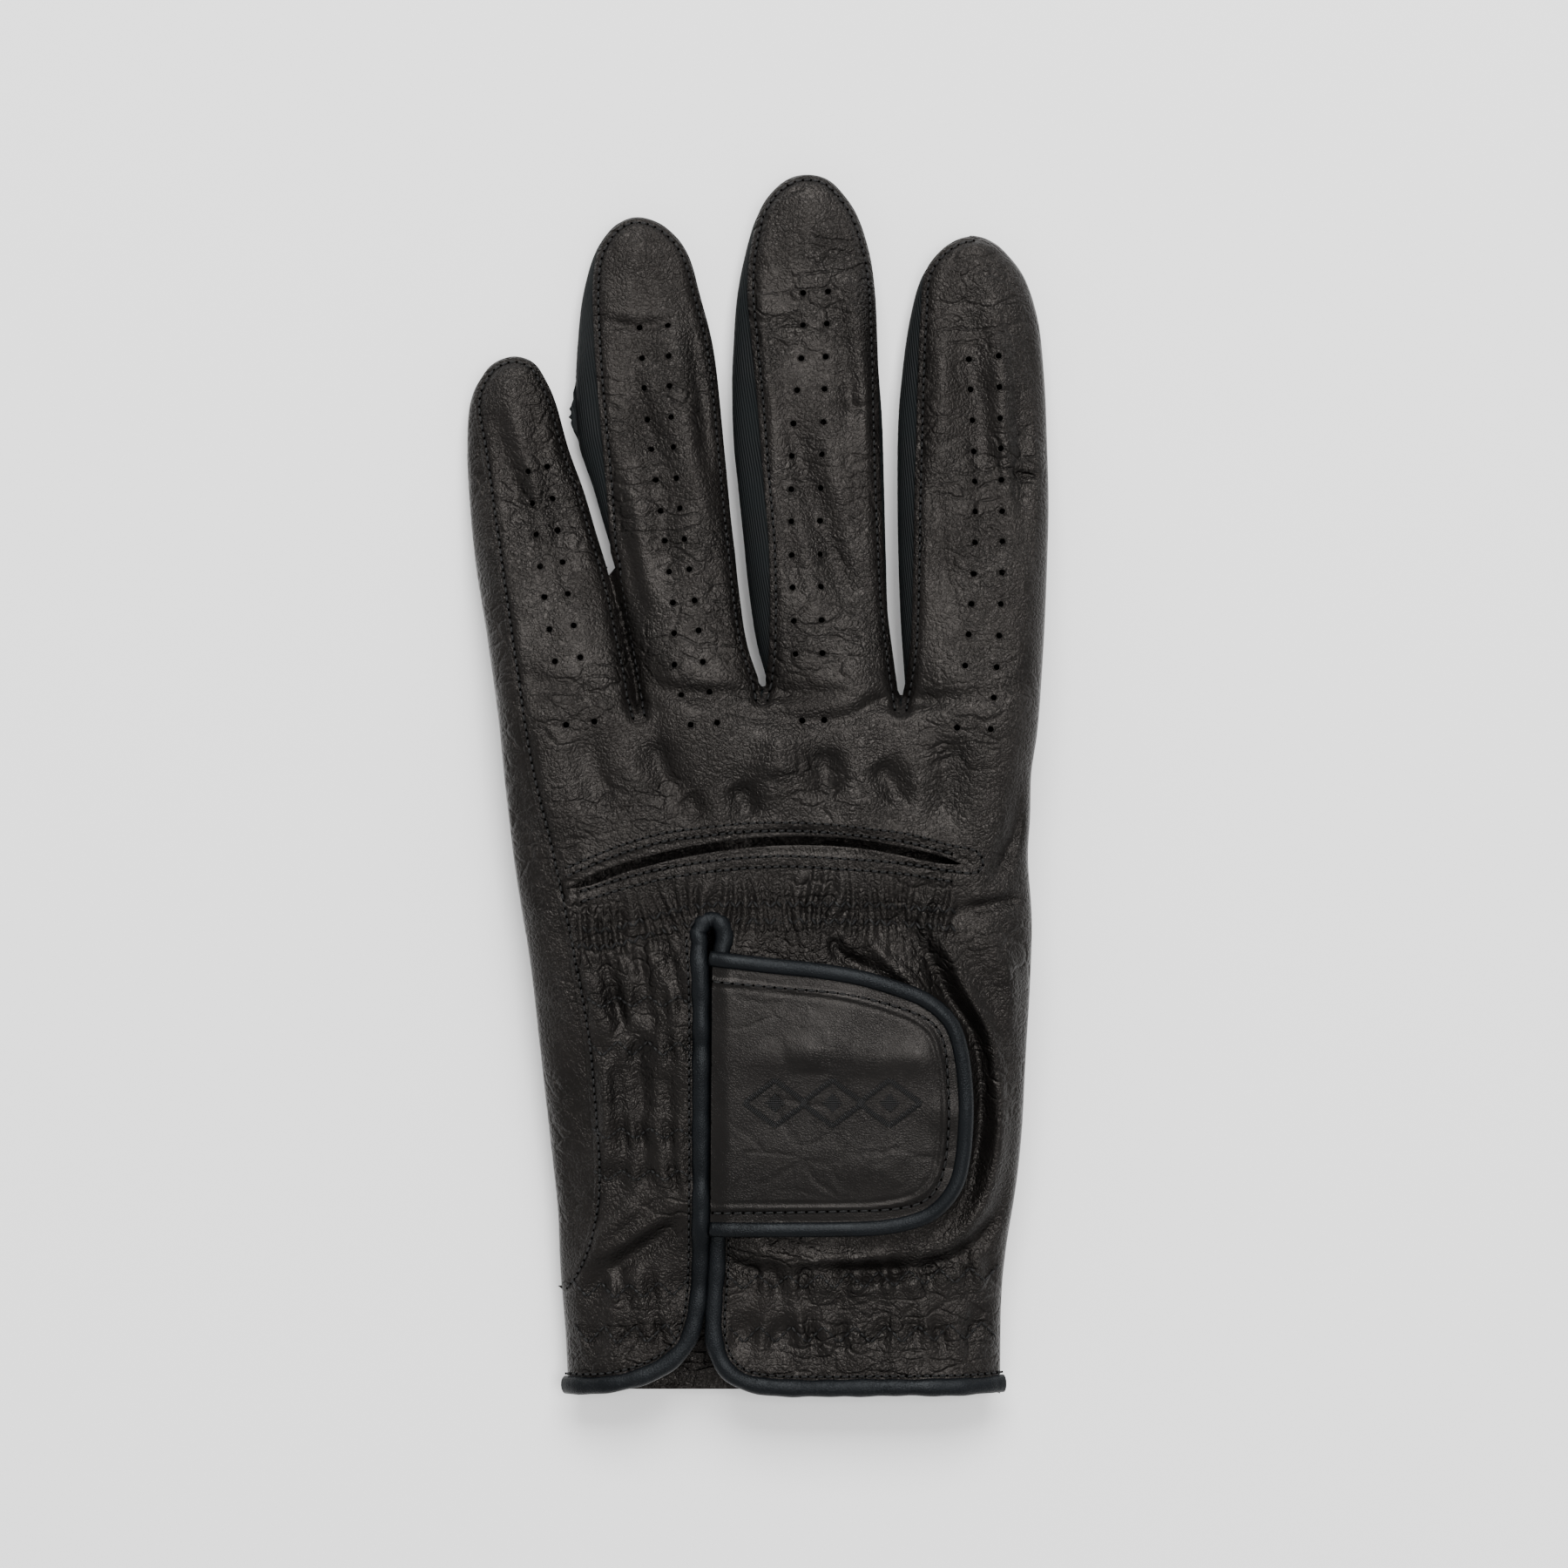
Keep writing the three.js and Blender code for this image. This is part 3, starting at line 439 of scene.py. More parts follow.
# ---- Panels.
def patch(loop, spacing=STEP, holes=(), punched=(), rows=(0.16, 0.45, 0.9)):
    """Fine triangles inside a flat loop. Each punched hole is a centre and a radius."""
    loop = np.asarray(loop)[:, :2]
    low, high = loop.min(0), loop.max(0)
    xs = np.arange(low[0], high[0], spacing)
    ys = np.arange(low[1], high[1], spacing * 0.866)
    grid = np.array([(x + (j % 2) * spacing / 2, y) for j, y in enumerate(ys) for x in xs])
    grid = grid[inside(grid, loop)]
    edges = [loop, *holes]
    far = np.min([distance(grid, e, closed=True)[0] for e in edges], axis=0)
    grid = grid[far > rows[-1] + 0.45 * spacing]
    near = []
    area = np.sum(loop[:, 0] * np.roll(loop[:, 1], -1) - loop[:, 1] * np.roll(loop[:, 0], -1))
    for edge, turn in [(loop, -np.sign(area)), *[(h, 0) for h in holes]]:
        ends = np.vstack([edge[-1:], edge, edge[:1]])
        out = sideways(ends)[1:-1]
        for row in rows:
            for way in (turn, -turn) if turn == 0 else (turn,):
                moved = edge + out * row * (way or 1)
                clear = np.min([distance(moved, e, closed=True)[0] for e in edges], axis=0) > row * 0.9
                near.append(moved[clear & inside(moved, loop)])
                if turn == 0:
                    moved = edge - out * row
                    clear = np.min([distance(moved, e, closed=True)[0] for e in edges], axis=0) > row * 0.9
                    near.append(moved[clear & inside(moved, loop)])
                    break
    points = np.vstack([grid, *near])
    for x, y, r in punched:
        points = points[np.hypot(points[:, 0] - x, points[:, 1] - y) > r + 0.42]
    for hole in holes:
        points = points[~inside(points, hole)]
    constraints, verts = [], [*edges]
    start = 0
    for edge in edges:
        n = len(edge)
        constraints += [(start + i, start + (i + 1) % n) for i in range(n)]
        start += n
    turn = np.linspace(0, 2 * math.pi, 11)[:-1]
    for x, y, r in punched:
        verts.append(np.column_stack([x + r * np.cos(turn), y + r * np.sin(turn)]))
        constraints += [(start + i, start + (i + 1) % 10) for i in range(10)]
        start += 10
        verts.append(np.column_stack([x + (r + 0.3) * np.cos(turn + 0.3),
            y + (r + 0.3) * np.sin(turn + 0.3)]))
        start += 10
    verts.append(points)
    flat = np.vstack(verts)
    made = delaunay_2d_cdt([Vector(v) for v in flat], constraints, [], 1, 1e-5, False)
    p, tris = np.array(made[0]), np.array(made[2])
    middle = p[tris].mean(1)
    keep = inside(middle, loop)
    for hole in holes:
        keep &= ~inside(middle, hole)
    for x, y, r in punched:
        keep &= np.hypot(middle[:, 0] - x, middle[:, 1] - y) > r * 0.96
    tris = tris[keep]
    used = np.unique(tris)
    remap = np.full(len(p), -1)
    remap[used] = np.arange(len(used))
    p, tris = p[used], remap[tris]
    a, b, c = p[tris[:, 0]], p[tris[:, 1]], p[tris[:, 2]]
    turned = (b[:, 0] - a[:, 0]) * (c[:, 1] - a[:, 1]) - (b[:, 1] - a[:, 1]) * (c[:, 0] - a[:, 0]) < 0
    tris[turned] = tris[turned][:, ::-1]
    return p, tris


def merge(parts):
    """Joins sheets of points and triangles where their points meet."""
    points = np.vstack([p for p, _ in parts])
    starts = np.cumsum([0] + [len(p) for p, _ in parts])[:-1]
    tris = np.vstack([t + s for (_, t), s in zip(parts, starts)])
    _, first, back = np.unique(np.round(points, 3), axis=0, return_index=True, return_inverse=True)
    tris = back.reshape(-1)[tris]
    good = (tris[:, 0] != tris[:, 1]) & (tris[:, 1] != tris[:, 2]) & (tris[:, 2] != tris[:, 0])
    return points[first], tris[good]


def normals_of(points, tris):
    a, b, c = (points[tris[:, k]] for k in range(3))
    face = np.cross(b - a, c - a)
    out = np.zeros_like(points)
    for k in range(3):
        np.add.at(out, tris[:, k], face)
    return out / (np.linalg.norm(out, axis=1)[:, None] + 1e-12)


def skin(loop, top, calm=False, **kind):
    """A patch laid on the glove's outer surface, facing out."""
    p, tris = patch(loop, **kind)
    points = np.column_stack([p, outer_skin(p, top, calm)])
    return points, tris if top else tris[:, ::-1]


def edge_relief(points, lines):
    """A sewn raw edge rolls down, with a shallow groove where its stitches pull."""
    sink = np.zeros(len(points))
    for line in lines:
        near = np.flatnonzero(np.all((points[:, :2] > line.min(0) - 5) & (points[:, :2] < line.max(0) + 5),
            axis=1))
        d, _ = distance(points[near, :2], line)
        found = -0.22 * np.exp(-((d / 0.35) ** 2)) - 0.26 * np.exp(-(((d - 1.05) / 0.42) ** 2))
        sink[near] += found + 0.14 * np.exp(-(((d - 2.4) / 0.9) ** 2))
    return sink


sheets = {}  # name: points, triangles, thickness, how far its outer face lies under the skin


def add_sheet(name, parts, thickness=LEATHER, depth=0.0, raw=()):
    points, tris = merge(parts)
    if raw:
        points[:, 2] += edge_relief(points, raw)
    sheets[name] = (points, tris, thickness, depth)


# ---- Where the hand's panels end and the fingers' begin.
def crossings(line, y):
    """Each place where a line crosses a height in plan, as the index before it and the point."""
    found = []
    for i in np.flatnonzero((line[:-1, 1] - y) * (line[1:, 1] - y) <= 0):
        share = (y - line[i, 1]) / (line[i + 1, 1] - line[i, 1] + 1e-12)
        found.append((i, line[i] + share * (line[i + 1] - line[i])))
    return found


def tidy(line):
    """Drops points that crowd the one before them, and keeps both ends."""
    kept = [line[0]]
    for point in line[1:-1]:
        if np.linalg.norm(point - kept[-1]) > 0.35 * STEP and np.linalg.norm(point - line[-1]) > 0.35 * STEP:
            kept.append(point)
    return np.array([*kept, line[-1]])


def over(line, y):
    """The stretch of a line above a height: between its two crossings, or from its only one to its end."""
    found = crossings(line, y)
    i, a = found[0]
    if len(found) == 1:
        return tidy(np.vstack([a, line[i + 1 :]]))
    j, b = found[-1]
    return tidy(np.vstack([a, line[i + 1 : j + 1], b]))


def up_to(line, y):
    i, point = crossings(line, y)[0]
    return tidy(np.vstack([line[: i + 1], point]))


def down_from(line, y):
    i, point = crossings(line, y)[-1]
    return tidy(np.vstack([point, line[i + 1 :]]))


def loop_of(*lines):
    """A closed loop through lines end to end, with straight joins where they don't meet."""
    whole = []
    for line, following in zip(lines, [*lines[1:], lines[0]]):
        whole.append(line)
        if np.linalg.norm(line[-1] - following[0]) > 1.5 * STEP:
            whole.append(straight(line[-1], following[0])[1:-1])
    loop = np.vstack(whole)
    return loop[np.linalg.norm(loop - np.roll(loop, 1, axis=0), axis=1) > 0.05]


FINGERS = ("little", "ring", "middle", "index")
tip_index = {name: int(np.argmax(OUTLINE[name][:, 1])) for name in FINGERS}
index_right = OUTLINE["index"][tip_index["index"] :]
little_left = OUTLINE["little"][: tip_index["little"] + 1]
little_right = OUTLINE["little"][tip_index["little"] :]
WRAP_END = -93.0  # below this the back runs out to the little-finger edge


# ---- The back's leather, with its perforations: two lines of punched holes down each finger.
HOLE = 0.68
PERFORATIONS = {
    "little": [([(-41.9, 57.4), (-38.6, 34), (-34.4, 10.6)], 9),
        ([(-38.4, 58.4), (-34.2, 34), (-29.3, 11.2)], 9)],
    "ring": [
        ([(-21.4, 84.1), (-19.8, 66.1), (-17.3, 49.3), (-14.9, 31.5), (-14.6, 20.6), (-11.7, 10.6)], 14),
        ([(-16.2, 84.5), (-15.5, 67.2), (-13.8, 50.1), (-10.9, 32.3), (-9.3, 21), (-6.9, 11)], 14),
    ],
    "middle": [
        ([(8.8, 90.4), (8.6, 80), (7, 66), (6.6, 50), (6.9, 34), (7.6, 20), (8.6, 11.4)], 14),
        ([(13.4, 90.7), (12.6, 69), (11.9, 50.4), (12.2, 27.7), (12.6, 11.5)], 14),
    ],
    "index": [
        ([(39.4, 78.2), (40.2, 61.3), (40.3, 44.8), (39, 27.4), (36.8, 10.1)], 13),
        ([(44.8, 78.7), (45.1, 61.4), (45.3, 45.1), (44.6, 27.6), (42.9, 9.8)], 13),
    ],
}


def holes_in(body):
    """The punched holes of one body's leather."""
    found = []
    for name, rows in PERFORATIONS.items():
        for points, count in rows:
            line = curve(points, 0.2)
            for x, y in line[np.linspace(0, len(line) - 1, count).round().astype(int)]:
                on_hand = y < SPLIT[name]
                wanted = on_hand if body == "hand" else body == name and not on_hand
                if abs(y - SPLIT[name]) > 1.6 and wanted:
                    found.append((x, y, HOLE))
    return found


def finger_loop(name, edge):
    """A finger's sheet above its split, inside an edge. The index leather folds round its thumb side."""
    line = over(edge, SPLIT[name])
    return loop_of(line, up_to(index_right, SPLIT[name])) if name == "index" else loop_of(line)


def hand_loop(edges, start, end):
    """A sheet of the hand below the fingers, inside each finger's edge, with notches at the crotches."""
    lines = [*start]
    for name, following in zip(FINGERS, FINGERS[1:]):
        lines += [down_from(edges[name], SPLIT[name]), up_to(edges[following], SPLIT[following])]
    return loop_of(*lines, *end)


back_start = [over(up_to(OUTLINE["little"], WRAP_END), -111.3), up_to(PANEL["little"], SPLIT["little"])]
back_end = [up_to(down_from(index_right, SPLIT["index"]), -111), even(OPENING[::-1])]
seams = list(PANEL.values())
add_sheet(
    "hand_back_leather",
    [skin(hand_loop(PANEL, back_start, back_end), True, holes=[VENT], punched=holes_in("hand"))],
    raw=[*seams, VENT],
)
for name in FINGERS:
    loop = finger_loop(name, PANEL[name])
    add_sheet(f"{name}_back_leather", [skin(loop, True, punched=holes_in(name))], raw=[PANEL[name]])


# ---- Sides and palm: bands that wrap round the outline, and the leather that covers their lower edges.
UNDER = 1.7  # how far a side panel runs on under its neighbour's edge
PALM_SEAM = 2.4  # how far in from the outline the palm side's leather reaches
SIDE_DEPTH = 0.85


def inner_line(line, width):
    """A line moved into the glove from its outline, and kept off every part of the outline."""
    width = np.broadcast_to(width, len(line))
    moved = beside(line, width)
    d, _ = distance(moved, WHOLE)
    return even(moved[d > width * 0.9])


def band(name, outside, back_edge, thickness=FABRIC):
    palm_edge = inner_line(outside, PALM_SEAM + UNDER)
    edges = ((back_edge, True), (palm_edge, False))
    parts = [skin(loop_of(outside, edge[::-1]), top, spacing=0.8) for edge, top in edges]
    add_sheet(name, parts, thickness, SIDE_DEPTH)


def tucked(line, from_start=0):
    """A seam line moved under the leather that covers it, less so near its start, on the outline."""
    i = np.arange(len(line))
    width = UNDER * np.ones(len(line))
    if from_start:
        width *= smooth_step(i, 0, from_start)
    return beside(line, width)


little_seam = PANEL["little"][: int(np.argmax(PANEL["little"][:, 1])) + 1]
hand_side = over(up_to(little_left, SPLIT["little"]), WRAP_END)
band("hand_side_leather", hand_side, tucked(up_to(little_seam, SPLIT["little"]), from_start=16), LEATHER)
band("little_side_leather", over(little_left, SPLIT["little"]), tucked(over(little_seam, SPLIT["little"])),
    LEATHER)
points, tris, thickness, depth = sheets["hand_side_leather"]
sheets["hand_side_leather"] = points, tris, thickness, depth * smooth_step(points[:, 1], -93, -76)
little_edge = PANEL["little"][int(np.argmax(PANEL["little"][:, 1])) :]
band("little_side_fabric", up_to(little_right, SPLIT["little"]), tucked(up_to(little_edge, SPLIT["little"])))
for name in ("ring", "middle"):
    band(f"{name}_side_fabric", over(OUTLINE[name], SPLIT[name]), tucked(over(PANEL[name], SPLIT[name])))
index_left = OUTLINE["index"][: tip_index["index"] + 1]
band("index_side_fabric", over(index_left, SPLIT["index"]), tucked(over(PANEL["index"], SPLIT["index"])))
for name, following in zip(FINGERS, FINGERS[1:]):
    slit = np.vstack([down_from(OUTLINE[name], SPLIT[name])[:-1],
        up_to(OUTLINE[following], SPLIT[following])])
    band(f"crotch_{name}_{following}", slit, inner_line(slit, 4.6))

palm_edges = {name: inner_line(OUTLINE[name], PALM_SEAM) for name in ("ring", "middle")}
palm_edges["index"] = inner_line(index_left, PALM_SEAM)
low_side = OUTLINE["little"]
palm_edges["little"] = inner_line(low_side, PALM_SEAM * smooth_step(low_side[:, 1], -96, -88) + 1e-3)
palm_start = [over(up_to(palm_edges["little"], SPLIT["little"]), -113.1)]
palm_end = [up_to(down_from(index_right, SPLIT["index"]), -113.1)]
add_sheet("palm_leather", [skin(hand_loop(palm_edges, palm_start, palm_end), False, spacing=1.0)])
for name in FINGERS:
    add_sheet(f"{name}_front_leather", [skin(finger_loop(name, palm_edges[name]), False, spacing=0.9)])


# ---- Tapes and elastics sewn inside, the palm's hem, the label and the loop patch.
def rectangle(x0, x1, middle, half):
    """A strip that follows a line of points in plan, between two sides."""
    line = curve([(x, y) for x, y in middle], 1.2)
    line = line[(line[:, 0] > x0) & (line[:, 0] < x1)]
    return np.vstack([line + (0, half), (line - (0, half))[::-1]])


def level(y):
    return [(-60, y), (-20, y), (20, y), (60, y)]


INNER = LEATHER + 1.6
STRIPS = {
    "upper_vent_tape": (-31, 37, [(x, y + 2.6) for x, y in VENT_TOP[::12]], 2.0, 0.5),
    "lower_vent_tape": (-31, 37, [(x, y - 2.8) for x, y in VENT_LOW[::12][::-1]], 2.0, 0.5),
    "knuckle_band_outer": (-32, -13, GATHERS[0][0], 3.2, 0.8),
    "knuckle_band_inner": (-2, 37, GATHERS[0][0], 3.2, 0.8),
    "wrist_band_upper": (-29, -12.6, level(-44.2), 4.6, 0.8),
    "wrist_band_lower": (-27.6, -12.6, level(-67.8), 4.6, 0.8),
    "cuff_band_outer": (-30, -14.8, level(-96.6), 4.6, 0.8),
    "cuff_band_inner": (-3.6, 41, level(-96), 4.8, 0.8),
}
for name, (x0, x1, middle, half, thickness) in STRIPS.items():
    add_sheet(name, [skin(rectangle(x0, x1, middle, half), True, calm=True, spacing=1.2)], thickness, INNER)
add_sheet("palm_cuff_hem", [skin(rectangle(-32, 43, level(-110.6), 2.4), False, spacing=1.2)], 0.6,
    LEATHER + 0.1)
add_sheet("blank_label", [skin(rectangle(-4, 10, level(-100), 8), False, spacing=1.6)], 0.4, LEATHER + 0.2)
add_sheet("loop_field", [skin(rectangle(-2.5, 32, level(-59), 18), True, spacing=1.2)], 0.4, -0.45)


# ---- Closure tab: leather inside a piped edge, with a backing and a patch of hooks underneath.
TAB_PIPING = curve([
    (-8.2, -31.9), (4, -33.3), (11.6, -34.1), (19.2, -35.4), (26.3, -37.5), (30.7, -39.3), (34, -41.7),
        (36, -44.3),
    (37.4, -48.8), (38.3, -56.2), (38.3, -63.6), (37.8, -68.8), (36.8, -72.9), (34.7, -76.3), (32, -78.7),
        (28.7, -80.1),
    (22.8, -81.2), (15.2, -81.5), (-8.2, -81.6),
])
TAB_LIFT = 3.1
PIPE = 1.45
MARK = (14.1, -58.2)  # middle of the embroidery


def tab_height(p):
    """The tab's upper surface, nearly flat, with a soft rise and puckers round the embroidery."""
    base = mid_height(p) + 7 + TAB_LIFT
    d, _ = distance(p, TAB_PIPING)
    dome = 0.55 * smooth_step(d, 2, 15) + 0.16 * wrinkles(p * 1.1 + 7)
    pucker = np.exp(-(((p[:, 0] - MARK[0]) / 20) ** 4) - ((p[:, 1] - MARK[1]) / 7.5) ** 4)
    dome -= 0.32 * pucker
    for x, y, h in ((-4, 9, 0.5), (6, 8, 0.4), (15, 8, 0.55), (21, -2, 0.5), (8, -12, 0.35),
        (19, -16, 0.3), (-12, 8, 0.3)):
        dome += h * np.exp(-(((p[:, 0] - MARK[0] - x) / 4.5) ** 2 + ((p[:, 1] - MARK[1] - y) / 3) ** 2))
    turned = 0.34 * (smooth_step(d, 3.35, 3.75) - 1) + 0.16 * np.exp(-(((d - 3.95) / 0.3) ** 2))
    groove = -0.22 * np.exp(-(((d - 4.75) / 0.35) ** 2)) - 0.1 * np.exp(-(((d - 1.6) / 0.5) ** 2))
    return base + dome + turned + groove - 0.9 * (1 - smooth_step(p[:, 0], -8.4, -4.5))


def tab_sheet(inset, drop, spacing):
    edge = beside(TAB_PIPING, inset)
    edge = edge[edge[:, 0] > -8.25]
    p, tris = patch(loop_of(edge), spacing=spacing)
    return np.column_stack([p, tab_height(p) - drop]), tris


add_sheet("tab_cover", [tab_sheet(0.5, 0, 0.5)])
add_sheet("tab_lining", [tab_sheet(1.0, LEATHER + 0.1, 1.2)], 0.6)
hooks = rectangle(10, 29, level(-59), 14)
p, tris = patch(hooks, spacing=1.2)
add_sheet("hook_field", [(np.column_stack([p, tab_height(p) - LEATHER - 0.85]), tris)], 0.45)


# ---- Thumb: a flattened tube folded under the palm, from its root to its tip.
THUMB_ROOT = np.array((40.0, -26.0))
THUMB_WAY = np.array((-60.0, 33.0)) / math.hypot(60, 33)
THUMB_SEAM = 0.62  # angle from the tube's side to its stitched edges
THUMB_HINGE = np.array((49.2, -24.0, 6.6))


def thumb_section(s, angle, depth):
    """Points round the thumb at a distance from its root. Before it, the thumb narrows to a lip."""
    s = np.asarray(s, float)
    reach = np.clip((s - 54) / 16, 0, 1)
    round_off = np.sqrt(1 - reach**2)
    lip = 1 - smooth_step(s, -9, 6)
    half_width = np.interp(s, [6, 18, 36, 54], [15.5, 14.5, 12.8, 12]) * round_off * (1 - 0.28 * lip)
    half = np.interp(s, [0, 28, 70], [3.0, 3.5, 3.5]) * round_off**0.8 * (1 - 0.55 * lip)
    mid = np.interp(s, [0, 28, 70], [3.3, 3.6, 3.6])
    cos, sin = np.cos(angle), np.sin(angle)
    across = np.sign(cos) * np.abs(cos) ** 0.8 * np.maximum(half_width - depth, 0.02)
    up = sin * np.maximum(half - depth, 0.02)
    crease = 0.22 * np.sin(s * 0.55 + angle * 2) * np.sin(s * 0.17 + 1) + 0.12 * np.sin(s * 1.3 - angle * 3)
    up = up - sin * (0.3 + crease) * smooth_step(half, 0.5, 2.5) * (depth < 1) * (1 - lip)
    side = np.array([THUMB_WAY[1], -THUMB_WAY[0]])
    plan = THUMB_ROOT + np.multiply.outer(np.maximum(s, -2), THUMB_WAY) + across[..., None] * side
    at_hinge = THUMB_HINGE[:2] + across[..., None] * np.array([0.0, 1.0])
    plan = plan + (at_hinge - plan) * lip[..., None]
    z = mid + (THUMB_HINGE[2] - mid) * lip + up
    return np.column_stack([plan, np.maximum(z, 0.0)])


def thumb_panel(name, start, end, columns, depth):
    s = np.r_[np.linspace(-9, 54, 100), 54 + 16 * np.sin(np.linspace(0, math.pi / 2, 27))[1:]]
    angles = np.linspace(start, end, columns)
    grid_s, grid_a = np.repeat(s, columns), np.tile(angles, len(s))
    points = thumb_section(grid_s, grid_a, depth)
    tris = []
    for r in range(len(s) - 1):
        a = r * columns + np.arange(columns - 1)
        tris += [np.column_stack([a, a + 1, a + columns + 1]),
            np.column_stack([a, a + columns + 1, a + columns])]
    tris = np.vstack(tris)
    outward = normals_of(points, tris)
    centre = thumb_section(grid_s, grid_a, 50)
    if np.sum((points - centre) * outward) < 0:
        tris = tris[:, ::-1]
    sheets[name] = (points, tris, LEATHER, 0.0)


thumb_panel("thumb_palm_leather", THUMB_SEAM, math.pi - THUMB_SEAM, 40, 0)
thumb_panel("thumb_back_leather", -math.pi + THUMB_SEAM, -THUMB_SEAM, 40, 0)
thumb_panel("thumb_inner_strip", -THUMB_SEAM - 0.12, THUMB_SEAM + 0.12, 16, 0.85)
thumb_panel("thumb_outer_strip", math.pi - THUMB_SEAM - 0.12, math.pi + THUMB_SEAM + 0.12, 16, 0.85)


# The leather web between the hand's edge and the thumb's hinge.
web_y = np.linspace(-37, -11, 40)
web_x = np.interp(-web_y, -index_right[:, 1], index_right[:, 0]) - 0.25
web_top = mid_height(np.column_stack([web_x, web_y]))
web_low = web_top - (web_top - THUMB_HINGE[2] + 0.6) * np.sqrt(np.clip(1 - ((web_y + 24) / 13) ** 2, 0, 1))
web_rows = []
for t in np.linspace(-0.12, 1, 12):
    bowed = web_x - 0.9 * smooth_step(t) * (web_top - web_low) / 8
    web_rows.append(np.column_stack([bowed, web_y, web_top + (web_low - web_top) * t]))
web_points = np.vstack(web_rows)
cell = (np.arange(11)[:, None] * 40 + np.arange(39)).ravel()
web_tris = np.vstack([np.column_stack([cell, cell + 41, cell + 1]),
    np.column_stack([cell, cell + 40, cell + 41])])
if normals_of(web_points, web_tris)[:, 0].sum() < 0:
    web_tris = web_tris[:, ::-1]
sheets["thumb_hinge_web"] = (web_points, web_tris, LEATHER, 0.0)


# ---- Meshes from the sheets: shared normals first, so that a seam between two bodies doesn't show.
raw_normals = {name: normals_of(s[0], s[1]) for name, s in sheets.items()}
JOINED = [n for n in sheets if n.endswith(("_back_leather", "_front_leather")) or n == "palm_leather"]
SIDES = [n for n in sheets if "_side_" in n or "crotch" in n]
for group in (JOINED, SIDES):
    keys = {}
    for name in group:
        for i, point in enumerate(np.round(sheets[name][0], 2)):
            keys.setdefault(tuple(point), []).append((name, i))
    for places in keys.values():
        if len(places) < 2:
            continue
        total = sum(raw_normals[n][i] for n, i in places)
        total = total / (np.linalg.norm(total) + 1e-12)
        for n, i in places:
            raw_normals[n][i] = total


def closed_shell(name):
    """A sheet with its thickness: outer face, inner face and the rim between them."""
    points, tris, thickness, depth = sheets[name]
    normal = raw_normals[name]
    depth = np.reshape(depth, (-1, 1))
    outer, inner = points - normal * depth, points - normal * (depth + thickness)
    count = len(points)
    edges = np.vstack([tris[:, [0, 1]], tris[:, [1, 2]], tris[:, [2, 0]]])
    code, back = edges[:, 0] * count + edges[:, 1], edges[:, 1] * count + edges[:, 0]
    rim = edges[~np.isin(code, back)]
    a, b = rim[:, 0], rim[:, 1]
    faces = np.vstack([
        tris, tris[:, ::-1] + count, np.column_stack([b, a, a + count]),
            np.column_stack([b, a + count, b + count])
    ])
    return np.vstack([outer, inner]), faces, np.vstack([normal, -normal]), len(rim) * 2


def make_mesh(name, points, faces, normals=None, flat=0):
    """A mesh in metres. The last flat faces keep their own normals."""
    mesh = bpy.data.meshes.new(name)
    mesh.vertices.add(len(points))
    mesh.vertices.foreach_set("co", (points * MM).astype(np.float32).ravel())
    mesh.loops.add(faces.size)
    mesh.loops.foreach_set("vertex_index", faces.astype(np.int32).ravel())
    mesh.polygons.add(len(faces))
    mesh.polygons.foreach_set("loop_start", np.arange(0, faces.size, faces.shape[1], dtype=np.int32))
    mesh.polygons.foreach_set("use_smooth", np.ones(len(faces), bool))
    mesh.update(calc_edges=True)
    mesh.validate()
    if normals is not None:
        loops = normals[faces.ravel()]
        if flat:
            corner = points[faces[-flat:]]
            own = np.cross(corner[:, 1] - corner[:, 0], corner[:, 2] - corner[:, 0])
            own /= np.linalg.norm(own, axis=1)[:, None] + 1e-12
            loops[-flat * 3 :] = np.repeat(own, 3, axis=0)
        mesh.normals_split_custom_set(loops.astype(np.float32))
    piece = bpy.data.objects.new(name, mesh)
    bpy.context.scene.collection.objects.link(piece)
    return piece


pieces = {}
for name in sheets:
    points, faces, normals, rim = closed_shell(name)
    pieces[name] = make_mesh(name, points, faces, normals, rim)


# ---- Rolled edges: the opening's and cuff's binding, and the tab's piping.
def tube(name, line, half_width, half_height, sides=14):
    """A flattened tube along a line in space, closed at its ends."""
    way = np.gradient(line, axis=0)
    way /= np.linalg.norm(way, axis=1)[:, None] + 1e-12
    across = np.cross(way, (0, 0, 1))
    across /= np.linalg.norm(across, axis=1)[:, None] + 1e-12
    upward = np.cross(across, way)
    turn = np.linspace(0, 2 * math.pi, sides, endpoint=False)
    wide = np.broadcast_to(half_width, len(line))[:, None, None]
    high = np.broadcast_to(half_height, len(line))[:, None, None]
    ring = line[:, None] + wide * np.cos(turn)[:, None] * across[:, None] + high * np.sin(turn)[:,
        None] * upward[:, None]
    count = len(line)
    points = np.vstack([ring.reshape(-1, 3), line[:1], line[-1:]])
    faces = []
    k = np.arange(sides)
    following = (k + 1) % sides
    for i in range(count - 1):
        a, b = i * sides, (i + 1) * sides
        faces += [np.column_stack([a + k, a + following, b + following]),
            np.column_stack([a + k, b + following, b + k])]
    first, last = count * sides, (count - 1) * sides
    faces.append(np.column_stack([following, k, 0 * k + first]))
    faces.append(np.column_stack([last + k, last + following, 0 * k + first + 1]))
    faces = np.vstack(faces)
    centre = points[faces].mean(1) - line[np.minimum(faces[:, 0] // sides, count - 1)]
    own = np.cross(points[faces[:, 1]] - points[faces[:, 0]], points[faces[:, 2]] - points[faces[:, 0]])
    if np.sum(own * centre) < 0:
        faces = faces[:, ::-1]
    pieces[name] = make_mesh(name, points, faces)


